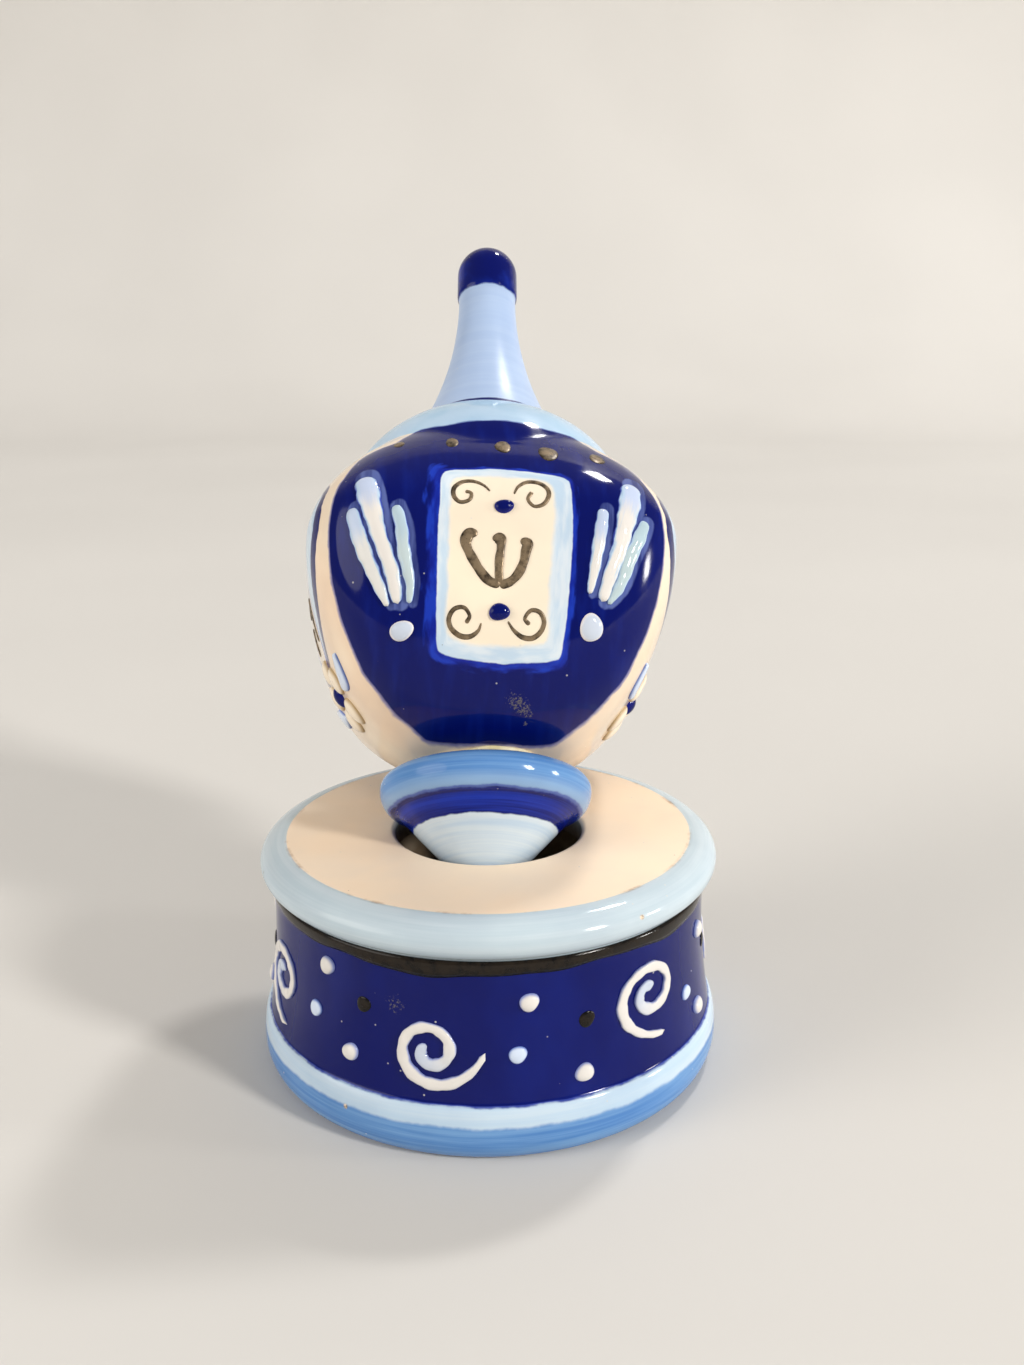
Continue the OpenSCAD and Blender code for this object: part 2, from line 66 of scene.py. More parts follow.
# Dreidel, heights along its own axis from the middle of the foot's bead
REST = np.array([-0.3, -2.444, 40.148])
LEAN = math.radians(37.5)
TURN = math.radians(5.5)
SEAT_S = 3.6
BODY_W = 27.6
WIDEST_S = 34.5
LOW_SPAN = 32.084
BODY_HIGH = 24.4
BODY_SQUARE = 4.0
DOME_R = 22.9
DOME_H = 19.5
DOME_S = 42.633
TOP_S = 59.828
STEM_BASE_R = 11.5
STEM_R = 4.8
STEM_LEN = 28.0
CAP_R = 5.1
CAP_LEN = 5.0
CAP_S = TOP_S + STEM_LEN
FOOT_BEAD_R = 12.9
FOOT_BEAD_W = 2.6
FOOT_BEAD_UP = 2.2
FOOT_BEAD_DOWN = 3.5
POINT_LEN = 16.9
POINT_ROUND = 0.8
BOSS_R = 8.2
BOSS_H = 3.1


# Meshes

def skin(grid, first=None, last=None, **values):
    """Rings of points, row after row, joined by quads that close round each ring; a fan of triangles
    runs to a middle point at either end. Rings that wind to the left about the way the rows go give
    outward faces. Values are one number, or one triple, for each point of the grid."""
    rows, sides = grid.shape[:2]
    index = np.arange(rows * sides).reshape(rows, sides)
    low, high = index[:-1], index[1:]
    quads = np.stack([low, np.roll(low, -1, 1), np.roll(high, -1, 1), high], -1).reshape(-1, 4)
    points = [grid.reshape(-1, 3)]
    tris = []
    carried = {k: [np.asarray(v, float).reshape(rows * sides, -1)] for k, v in values.items()}
    for middle, ring, flip, at in ((first, index[0], True, 0), (last, index[-1], False, -1)):
        if middle is None:
            continue
        tip = np.full(sides, sum(len(p) for p in points))
        pair = (np.roll(ring, -1), ring) if flip else (ring, np.roll(ring, -1))
        tris.append(np.stack([tip, *pair], -1))
        points.append(np.asarray(middle, float).reshape(1, 3))
        for k, v in values.items():
            row = np.asarray(v, float).reshape(rows, sides, -1)[at]
            carried[k].append(row.mean(0, keepdims=True))
    tris = np.concatenate(tris) if tris else np.zeros((0, 3), int)
    return np.concatenate(points), quads, tris, {k: np.concatenate(v) for k, v in carried.items()}


def merge(skins):
    """Several skins as one, each with its indices moved past those before it."""
    skins = list(skins)
    starts = np.cumsum([0] + [len(s[0]) for s in skins[:-1]])
    return (
        np.concatenate([s[0] for s in skins]),
        np.concatenate([s[1] + n for s, n in zip(skins, starts)]),
        np.concatenate([s[2] + n for s, n in zip(skins, starts)]),
        {k: np.concatenate([s[3][k] for s in skins]) for k in skins[0][3]},
    )


def add_piece(name, skins, material, body, slot, node):
    """Puts a skin into a mesh object that rides on a body and stands for a CAD node."""
    points, quads, tris, values = skins
    mesh = bpy.data.meshes.new(name)
    corners = np.concatenate([quads.ravel(), tris.ravel()]).astype(np.int32)
    starts = np.concatenate([np.arange(len(quads)) * 4, len(quads) * 4 + np.arange(len(tris)) * 3])
    mesh.vertices.add(len(points))
    mesh.vertices.foreach_set("co", (points * MM).astype(np.float32).ravel())
    mesh.loops.add(len(corners))
    mesh.loops.foreach_set("vertex_index", corners)
    mesh.polygons.add(len(starts))
    mesh.polygons.foreach_set("loop_start", starts.astype(np.int32))
    mesh.update(calc_edges=True)
    mesh.polygons.foreach_set("use_smooth", np.ones(len(starts), bool))
    for key, value in values.items():
        kind, field = ("FLOAT_VECTOR", "vector") if value.shape[1] == 3 else ("FLOAT", "value")
        layer = mesh.attributes.new(key, kind, "POINT")
        layer.data.foreach_set(field, value.astype(np.float32).ravel())
    mesh.validate()
    mesh.materials.append(material)
    piece = bpy.data.objects.new(name, mesh)
    bpy.context.collection.objects.link(piece)
    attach(piece, body)
    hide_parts(node)


# Forms

def smooth(x):
    """Soft step from 0 to 1."""
    k = np.clip(x, 0, 1)
    return k * k * (3 - 2 * k)


def leaning(p):
    """Dreidel's own frame to the row frame: turn about its axis, lean back, move to the seat."""
    x, y, z = p[..., 0], p[..., 1], p[..., 2]
    x, y = x * math.cos(TURN) - y * math.sin(TURN), x * math.sin(TURN) + y * math.cos(TURN)
    y, z = y * math.cos(LEAN) + z * math.sin(LEAN), z * math.cos(LEAN) - y * math.sin(LEAN)
    return np.stack([x, y, z], -1) + REST


def on_stand(p):
    """The stand's frame is the row frame."""
    return p


def quarter(cx, cy, rx, ry, a0, a1, n):
    """Part of an ellipse as [radius, height] points."""
    a = np.radians(np.linspace(a0, a1, n))
    return np.stack([cx + rx * np.cos(a), cy + ry * np.sin(a)], -1)


def turned(profile, sides, carry):
    """A [radius, height] outline, bottom to top on the outside, turned round its axis. Carries the
    height and the length along the outline."""
    step = np.linalg.norm(np.diff(profile, axis=0), axis=1)
    along = np.concatenate([[0], np.cumsum(step)])
    a = np.arange(sides) * TAU / sides
    r = np.repeat(profile[:, :1], sides, 1)
    height = np.repeat(profile[:, 1:], sides, 1)
    grid = np.stack([r * np.cos(a), r * np.sin(a), height], -1)
    across = np.repeat(along[:, None], sides, 1)
    ends = [carry(np.array([0, 0, profile[i, 1]])) for i in (0, -1)]
    return skin(carry(grid), ends[0], ends[1], height=height, across=across)


def wall_radius(z):
    """Radius of the stand's wall: straight under the rim, flaring as the square of the way down."""
    k = np.clip((LINE_LOW - z) / (LINE_LOW - FLANGE_H), 0, 1)
    return WALL_R + WALL_FLARE * k * k


def half_width(s):
    """Half width of the body's square section: one curve below the widest place, one above."""
    low = np.clip(1 - (np.clip(WIDEST_S - s, 0, None) / LOW_SPAN) ** 1.72, 0, 1) ** (1 / 2.4)
    high = np.clip(1 - (np.clip(s - WIDEST_S, 0, None) / BODY_HIGH) ** 1.43, 0, 1) ** (1 / 2.12)
    return BODY_W * np.where(s < WIDEST_S, low, high)


def squareness(s):
    """Exponent of the section, 2 for a circle; it fades to round at the foot and the dome."""
    fade = smooth((s - SEAT_S) / 15 + 0.3) * smooth((WIDEST_S + BODY_HIGH - s) / 24)
    return 2 + (BODY_SQUARE - 2) * fade


def dome_radius(s):
    """Round dome that grows out of the shoulder."""
    t = np.clip((s - DOME_S) / DOME_H, 0, 1)
    return np.where(s < DOME_S + 2.4, 0, DOME_R * np.sqrt(1 - t ** 2.31))


def soft_max(a, b):
    """Larger of two numbers with a rounded change from one to the other."""
    return (a + b + np.sqrt((a - b) ** 2 + 0.45 ** 2)) / 2


def square_radius(s, a):
    """Radius of the square section at an angle."""
    n = squareness(s)
    return half_width(s) / (np.abs(np.cos(a)) ** n + np.abs(np.sin(a)) ** n) ** (1 / n)


def face_depth(u, s):
    """Distance of a face's surface from the axis plane, u across the face, s along the axis."""
    w, n = half_width(s), squareness(s)
    square = np.clip(w ** n - np.abs(u) ** n, 0, None) ** (1 / n)
    return soft_max(square, np.sqrt(np.clip(dome_radius(s) ** 2 - u * u, 0, None)))


def face_surface(k):
    """Surface of face k (0 front, then to the right) as a function of flat points [u, s]."""
    c, d = math.cos(k * TAU / 4), math.sin(k * TAU / 4)

    def surface(q):
        u, s = q[..., 0], q[..., 1]
        y = -face_depth(u, s)
        return leaning(np.stack([c * u - d * y, d * u + c * y, s], -1))
    return surface


def wall_surface(q):
    """Surface of the stand's wall as a function of flat points [length round the wall, height]."""
    a, z = q[..., 0] / WALL_R, q[..., 1]
    r = wall_radius(z)
    return np.stack([r * np.cos(a), r * np.sin(a), z], -1)


def lifted(surface, q, height):
    """Points of a surface moved out along its normal, which is the cross product of its slopes."""
    e = 0.05
    du = surface(q + [e, 0]) - surface(q - [e, 0])
    ds = surface(q + [0, e]) - surface(q - [0, e])
    n = np.cross(du, ds)
    n /= np.linalg.norm(n, axis=-1, keepdims=True)
    return surface(q) + n * height[..., None]


def line_through(points, n):
    """Smooth line through given rows: on each stretch a cubic whose slopes follow the
    neighbouring points."""
    p = np.asarray(points, float)
    p = np.concatenate([p[:1], p, p[-1:]])
    t = np.linspace(0, len(p) - 3, n)
    i = np.minimum(t.astype(int), len(p) - 4)
    f = (t - i)[:, None]
    a, b, c, d = p[i], p[i + 1], p[i + 2], p[i + 3]
    return b + f * (c - a) / 2 + f ** 2 * (a - 2.5 * b + 2 * c - d / 2) + f ** 3 * (1.5 * (b - c) + (d - a) / 2)


def trail(surface, path, height, sides=14, sink=0.12, lump=0.0, flat=0.8, tint=0.0):
    """A line of slip or enamel on a surface: rows of [u, s, half width] carry an oval section whose
    flat side lies on the surface. It ends in rounds, where width and height follow a circle, and
    its height and width swell a little along the way. Carries crown, 0 at the edge and 1 on top,
    grain, the place across and along the line, and its tint."""
    way = path[:, :2]
    step = np.linalg.norm(np.diff(way, axis=0), axis=1)
    run = np.concatenate([[0], np.cumsum(step)])
    width = path[:, 2] * (1 + lump * (np.sin(run * 2.3 + way[0, 0]) + 0.3 * np.sin(run * 5.3 + way[0, 1])))
    to_end = np.minimum(run, run[-1] - run)
    end = np.sqrt(1 - np.clip(1 - to_end / width, 0, 0.999) ** 2)
    ahead = np.gradient(way, axis=0)
    ahead /= np.linalg.norm(ahead, axis=1, keepdims=True)
    side = np.stack([-ahead[:, 1], ahead[:, 0]], -1)
    a = np.arange(sides) * TAU / sides
    top = np.clip(np.sin(a), 0, 1)
    q = way[:, None] + side[:, None] * (width * end)[:, None, None] * np.cos(a)[None, :, None]
    swell = 1 + lump * (np.sin(run * 1.9 + width[0] * 40) + 0.5 * np.sin(run * 4.3))
    up = (height * end * swell)[:, None] * top ** flat - sink * (top == 0)
    grid = lifted(surface, q, up)
    crown = np.repeat(top[None], len(way), 0)
    grain = np.stack(np.broadcast_arrays(np.cos(a) * width[:, None], run[:, None], way[0, 0]), -1)
    return skin(grid, grid[0].mean(0), grid[-1].mean(0), crown=crown, grain=grain, tint=crown * 0 + tint)


def drops(surface, rows, sides=28, rings=9, sink=0.12):
    """Drops of enamel on a surface: rows of [u, s, half width, half height, rise]. A drop's outline
    is an ellipse that is a little uneven, and its section falls from the crown as a circle does.
    Carries crown, 0 at the edge and 1 on top."""
    made = []
    for i, (u, s, rx, ry, rise) in enumerate(rows):
        a = np.arange(sides) * TAU / sides
        out = 1 + 0.05 * np.sin(2 * a + i) + 0.04 * np.sin(3 * a + 2.3 * i)
        f = np.sin(np.linspace(math.pi / 2, 0.06, rings))[:, None]
        q = np.stack([u + rx * f * out * np.cos(a), s + ry * f * out * np.sin(a)], -1)
        crown = np.sqrt(np.clip(1 - f * f, 0, 1)) * np.ones((1, sides))
        up = np.concatenate([np.full((1, sides), -sink), rise * crown])
        grid = lifted(surface, np.concatenate([q[:1], q]), up)
        top = lifted(surface, np.array([[u, s]]), np.array([rise]))[0]
        base = lifted(surface, np.array([[u, s]]), np.array([-sink]))[0]
        made.append(skin(grid, base, top, crown=np.concatenate([crown[:1], crown])))
    return merge(made)


# Materials

def srgb(r, g, b):
    """Colour from 0..255 screen values."""
    c = np.array([r, g, b]) / 255
    lin = np.where(c <= 0.04045, c / 12.92, ((c + 0.055) / 1.055) ** 2.4)
    return (*lin, 1.0)


NAVY = srgb(0, 11, 91)
NAVY_BRUSHED = srgb(24, 54, 172)
NAVY_THIN = srgb(58, 74, 160)
NAVY_STROKE = srgb(14, 32, 140)
NAVY_BEAD_EDGE = srgb(20, 26, 120)
PALE_BLUE = srgb(180, 205, 226)
PALE_BLUE_THIN = srgb(206, 220, 231)
MID_BLUE = srgb(80, 129, 190)
MID_BLUE_THIN = srgb(122, 165, 209)
BEAD_LOW = srgb(138, 170, 206)
BAND_EDGE = srgb(84, 104, 172)
POINT_PALE = srgb(204, 218, 228)
POINT_BLUE = srgb(158, 190, 220)
CREAM = srgb(240, 224, 200)
CREAM_WARM = srgb(236, 211, 184)
TILE_BLUE = srgb(190, 210, 226)
TILE_PALE = srgb(214, 224, 231)
TILE_FIELD = srgb(244, 230, 206)
COLLAR = srgb(160, 193, 217)
RIM_BLUE = srgb(187, 203, 211)
RIM_THIN = srgb(206, 217, 223)
FLANGE_PALE = srgb(198, 215, 228)
LAVENDER = srgb(166, 187, 219)
LAVENDER_THIN = srgb(184, 202, 226)
WHITE = srgb(226, 221, 214)
WHITE_THIN = srgb(140, 152, 204)
RAY_EDGE = srgb(60, 76, 168)
RAY_TOP = srgb(190, 202, 226)
RAY_GREEN = srgb(174, 197, 202)
RAY_SMEAR = srgb(100, 116, 178)
DAB_BLUE = srgb(197, 206, 220)
DAB_WHITE = srgb(240, 233, 230)
DROP_BLUE = srgb(208, 220, 238)
DROP_EDGE = srgb(108, 132, 200)
PETAL = srgb(242, 228, 206)
PETAL_EDGE = srgb(190, 164, 124)
LUSTRE = srgb(134, 116, 92)
LUSTRE_DARK = srgb(42, 34, 26)
LINE_BROWN = srgb(34, 27, 20)
LINE_BLACK = srgb(10, 9, 9)
PLATE = srgb(250, 229, 202)
PLATE_WORN = srgb(244, 219, 190)
RAW_CLAY = srgb(202, 182, 156)
RAW_CLAY_DARK = srgb(172, 148, 120)
# tan of the painted shade, mixed with dirt, where the rim meets the plate
TAN = srgb(150, 112, 74)
SCUFF = srgb(110, 104, 92)
GLUE = srgb(216, 202, 156)
GLUE_PALE = srgb(234, 226, 198)
GLUE_BUBBLE = srgb(246, 240, 216)
PAPER = srgb(206, 203, 198)
PAPER_PALE = srgb(211, 208, 203)


class Nodes:
    """Shorthand for placing and linking shader nodes in one tree."""

    def __init__(self, tree):
        self.tree = tree

    def put(self, value, socket):
        """Links an output socket, or writes a plain value."""
        if isinstance(value, bpy.types.NodeSocket):
            self.tree.links.new(value, socket)
        else:
            socket.default_value = value

    def node(self, kind, **settings):
        n = self.tree.nodes.new(kind)
        for key, value in settings.items():
            setattr(n, key, value)
        return n

    def math(self, op, a, b=0.0, c=None):
        n = self.node("ShaderNodeMath", operation=op)
        self.put(a, n.inputs[0])
        self.put(b, n.inputs[1])
        if c is not None:
            self.put(c, n.inputs[2])
        return n.outputs[0]

    def add(self, a, b):
        return self.math("ADD", a, b)

    def sub(self, a, b):
        return self.math("SUBTRACT", a, b)

    def mul(self, a, b):
        return self.math("MULTIPLY", a, b)

    def ramp(self, value, low, high, to_low=0.0, to_high=1.0):
        """Soft step from to_low at low to to_high at high."""
        n = self.node("ShaderNodeMapRange", interpolation_type="SMOOTHSTEP")
        for v, k in ((value, 0), (low, 1), (high, 2), (to_low, 3), (to_high, 4)):
            self.put(v, n.inputs[k])
        return n.outputs[0]

    def mix(self, mask, a, b):
        n = self.node("ShaderNodeMix", data_type="RGBA")
        self.put(mask, n.inputs[0])
        self.put(a, n.inputs[6])
        self.put(b, n.inputs[7])
        return n.outputs[2]

    def noise(self, vector, scale, detail=2.0, rough=0.5):
        n = self.node("ShaderNodeTexNoise")
        self.put(vector, n.inputs["Vector"])
        n.inputs["Scale"].default_value = scale
        n.inputs["Detail"].default_value = detail
        n.inputs["Roughness"].default_value = rough
        return n.outputs["Fac"]

    def attr(self, name, kind="Fac"):
        return self.node("ShaderNodeAttribute", attribute_name=name).outputs[kind]

    def object(self):
        return self.node("ShaderNodeTexCoord").outputs["Object"]

    def stretch(self, vector, x, y, z):
        n = self.node("ShaderNodeMapping")
        self.put(vector, n.inputs["Vector"])
        n.inputs["Scale"].default_value = (x, y, z)
        return n.outputs[0]

    def distance(self, vector, place):
        """Millimetres from a place."""
        n = self.node("ShaderNodeVectorMath", operation="DISTANCE")
        self.put(vector, n.inputs[0])
        n.inputs[1].default_value = tuple(np.array(place) * MM)
        return self.mul(n.outputs["Value"], 1 / MM)

    def join(self, x, y, z):
        n = self.node("ShaderNodeCombineXYZ")
        for v, k in ((x, 0), (y, 1), (z, 2)):
            self.put(v, n.inputs[k])
        return n.outputs[0]

    def parts(self, vector):
        n = self.node("ShaderNodeSeparateXYZ")
        self.put(vector, n.inputs[0])
        return n.outputs

    def group(self, tree, **values):
        n = self.node("ShaderNodeGroup", node_tree=tree)
        for key, value in values.items():
            self.put(value, n.inputs[key])
        return n.outputs


def new_group(name, inputs, outputs):
    """A shader node group with named sockets."""
    tree = bpy.data.node_groups.new(name, "ShaderNodeTree")
    for direction, sockets in (("INPUT", inputs), ("OUTPUT", outputs)):
        for key, kind in sockets.items():
            tree.interface.new_socket(key, in_out=direction, socket_type=kind)
    k = Nodes(tree)
    return tree, k, k.node("NodeGroupInput").outputs, k.node("NodeGroupOutput").inputs


FLOAT, COLOUR = "NodeSocketFloat", "NodeSocketColor"
GLAZE_IOR = 1.3


def make_hand_edge():
    """Mask of a hand-painted area from the distance to its outline in millimetres, negative inside.
    Two sizes of noise make the brush's edge wander."""
    tree, k, i, o = new_group("hand_edge", {"Distance": FLOAT, "Wander": FLOAT, "Soft": FLOAT}, {"Mask": FLOAT})
    at = k.object()
    slow = k.sub(k.noise(at, 260), 0.5)
    fast = k.sub(k.noise(at, 1100), 0.5)
    shift = k.mul(k.math("MULTIPLY_ADD", fast, 0.35, slow), i["Wander"])
    d = k.add(i["Distance"], shift)
    k.put(k.ramp(d, k.mul(i["Soft"], -1.0), i["Soft"], 1.0, 0.0), o["Mask"])
    return tree


def make_glaze():
    """Glaze over a colour: it pools darker and thins paler in slow patches, has fine pale dust and a
    few dark pinholes. Height is the slow waviness of the fired surface."""
    tree, k, i, o = new_group(
        "glaze", {"Colour": COLOUR, "Pooling": FLOAT, "Dust": FLOAT},
        {"Colour": COLOUR, "Roughness": FLOAT, "Height": FLOAT})
    at = k.object()
    slow = k.noise(at, 90, 3.0)
    pool = k.ramp(slow, 0.32, 0.68, 1.0, 0.0)
    deep = k.node("ShaderNodeMix", data_type="RGBA", blend_type="MULTIPLY")
    k.put(k.mul(pool, i["Pooling"]), deep.inputs[0])
    k.put(i["Colour"], deep.inputs[6])
    k.put((0.62, 0.64, 0.72, 1.0), deep.inputs[7])
    cells = k.node("ShaderNodeTexVoronoi", feature="F1")
    k.put(at, cells.inputs["Vector"])
    cells.inputs["Scale"].default_value = 620
    chance = k.parts(cells.outputs["Color"])
    speck = k.mul(k.ramp(cells.outputs["Distance"], 0.05, 0.11, 1.0, 0.0),
                  k.math("GREATER_THAN", chance[0], 0.9))
    dust = k.mix(k.mul(speck, i["Dust"]), deep.outputs[2], (0.62, 0.6, 0.56, 1.0))
    pin = k.mul(k.ramp(cells.outputs["Distance"], 0.04, 0.08, 1.0, 0.0),
                k.math("GREATER_THAN", chance[1], 0.985))
    k.put(k.mix(k.mul(pin, 0.7), dust, (0.06, 0.045, 0.035, 1.0)), o["Colour"])
    smear = k.noise(k.stretch(at, 1, 1, 0.4), 190, 4.0)
    k.put(k.add(k.ramp(smear, 0.45, 0.8, 0.075, 0.19), k.mul(speck, 0.3)), o["Roughness"])
    k.put(k.math("MULTIPLY_ADD", k.noise(at, 420, 1.0), 0.25, k.noise(at, 110, 1.0)), o["Height"])
    return tree


def make_brushed():
    """Colour laid on with a brush: streaks run round the form, because the pattern changes quickly
    along the outline and slowly round it. Thin is the second colour that shows between streaks."""
    tree, k, i, o = new_group(
        "brushed", {"Colour": COLOUR, "Thin": COLOUR, "Across": FLOAT, "Amount": FLOAT}, {"Colour": COLOUR})
    x, y, z = k.parts(k.object())[:3]
    at = k.join(k.mul(x, 34), k.mul(y, 34), k.mul(i["Across"], 0.9))
    fine = k.join(k.mul(x, 60), k.mul(y, 60), k.mul(i["Across"], 3.6))
    streak = k.add(k.mul(k.noise(at, 1.0, 3.0), 0.7), k.mul(k.noise(fine, 1.0, 3.0), 0.3))
    k.put(k.mix(k.mul(k.ramp(streak, 0.36, 0.66), i["Amount"]), i["Colour"], i["Thin"]), o["Colour"])
    return tree


HAND_EDGE = make_hand_edge()
GLAZE = make_glaze()
BRUSHED = make_brushed()


def new_material(name, metallic=0.0):
    """A material with one Principled shader; numbers that hold all over are set on its sockets."""
    made = bpy.data.materials.new(name)
    made.use_nodes = True
    k = Nodes(made.node_tree)
    shader = made.node_tree.nodes["Principled BSDF"]
    shader.inputs["IOR"].default_value = GLAZE_IOR
    shader.inputs["Metallic"].default_value = metallic
    return made, k, shader.inputs


def bump(k, height, depth):
    """Normal from a height; depth in millimetres."""
    n = k.node("ShaderNodeBump")
    n.inputs["Distance"].default_value = depth * MM
    k.put(height, n.inputs["Height"])
    return n.outputs[0]


def edge(k, distance, wander=0.5, soft=0.12):
    """Mask of a painted area."""
    return k.group(HAND_EDGE, Distance=distance, Wander=wander, Soft=soft)["Mask"]


def glazed(k, sockets, colour, pooling=0.35, dust=0.5, depth=0.05, rough_mask=None, rough=0.4):
    """Sends a colour through the glaze group into a shader's sockets; a mask can dull it."""
    g = k.group(GLAZE, Colour=colour, Pooling=pooling, Dust=dust)
    k.put(g["Colour"], sockets["Base Color"])
    value = g["Roughness"]
    if rough_mask is not None:
        value = k.math("MULTIPLY_ADD", rough_mask, rough, value)
    k.put(value, sockets["Roughness"])
    k.put(bump(k, g["Height"], depth), sockets["Normal"])


def rubbed_specks(k, near):
    """Mask of scattered specks where the glaze was rubbed, denser towards the middle of the place."""
    grit = k.math("MULTIPLY_ADD", near, 0.46, k.noise(k.object(), 2700, 4.0, 0.75))
    return k.mul(k.ramp(grit, 0.95, 1.04), k.ramp(near, 0.02, 0.3, 0.0, 0.75))


def body_paint():
    """The body: cream ground, pale dome, dark panels with a tile on front and back, shields with a
    dark border and a round badge on the sides."""
    made, k, out = new_material("body_paint")
    at = k.object()
    brush = k.attr("brush", "Vector")
    warm = k.ramp(k.noise(at, 60, 2.0), 0.35, 0.7)
    colour = k.mix(warm, CREAM, CREAM_WARM)
    dab = k.ramp(k.noise(k.stretch(at, 1, 1, 0.4), 130, 3.0), 0.35, 0.7)
    colour = k.mix(edge(k, k.attr("collar"), 0.3, 0.15), colour, k.mix(dab, COLLAR, PALE_BLUE))
    # shields of the side faces
    colour = k.mix(edge(k, k.attr("shield"), 0.7), colour, NAVY)
    wash = k.ramp(k.noise(k.stretch(brush, 0.9, 0.16, 1), 1.0, 3.0), 0.3, 0.7)
    colour = k.mix(edge(k, k.attr("shield_field"), 0.7, 0.2), colour, k.mix(wash, PALE_BLUE, PALE_BLUE_THIN))
    badge = k.attr("badge")
    colour = k.mix(edge(k, k.sub(badge, 0.9), 0.5), colour, NAVY_BRUSHED)
    colour = k.mix(edge(k, badge, 0.4), colour, CREAM)
    # panels of the front and back: a thin see-through edge, then the full colour
    panel = k.attr("panel")
    mottle = k.ramp(k.noise(k.stretch(brush, 0.5, 0.12, 1), 1.0, 3.0), 0.45, 0.8)
    navy = k.mix(k.mul(mottle, 0.16), NAVY, NAVY_BRUSHED)
    rim = edge(k, k.sub(panel, 0.2), 0.5, 0.15)
    colour = k.mix(k.mul(rim, 0.75), colour, NAVY_THIN)
    colour = k.mix(edge(k, panel, 0.22, 0.1), colour, navy)
    # thin enamel dragged out beside the rays
    drag = k.noise(k.stretch(brush, 0.8, 0.07, 1), 1.0, 3.0)
    thin = k.mul(edge(k, k.attr("smear"), 0.4, 0.15), k.ramp(drag, 0.3, 0.6, 0.2, 0.75))
    colour = k.mix(thin, colour, RAY_SMEAR)
    # brighter strokes left by the brush along the tile's sides
    tile = k.attr("tile")
    u, s = k.parts(brush)[:2]
    lines = k.noise(k.join(k.mul(tile, 0.9), k.mul(u, 0.26), k.mul(s, 0.26)), 1.0, 3.0)
    halo = k.ramp(k.math("MULTIPLY_ADD", k.sub(lines, 0.5), 2.3, k.attr("halo")), 0.5, 1.15, 1.0, 0.0)
    bright = k.mix(k.ramp(lines, 0.35, 0.6), NAVY_BRUSHED, NAVY_STROKE)
    colour = k.mix(k.mul(halo, k.math("LESS_THAN", panel, 0.0)), colour, bright)
    tone = k.noise(k.join(k.mul(tile, 0.9), k.mul(u, 0.2), k.mul(s, 0.2)), 1.0, 3.0)
    border = k.mix(k.ramp(tone, 0.35, 0.65), TILE_BLUE, TILE_PALE)
    colour = k.mix(edge(k, tile, 0.4, 0.1), colour, border)
    colour = k.mix(edge(k, k.attr("field"), 0.8, 0.4), colour, k.mix(warm, TILE_FIELD, CREAM))
    # rubbed place low on the front panel
    worn = rubbed_specks(k, k.attr("scuff"))
    colour = k.mix(worn, colour, SCUFF)
    glazed(k, out, colour, pooling=0.25, dust=0.6, depth=0.05, rough_mask=worn, rough=0.5)
    return made


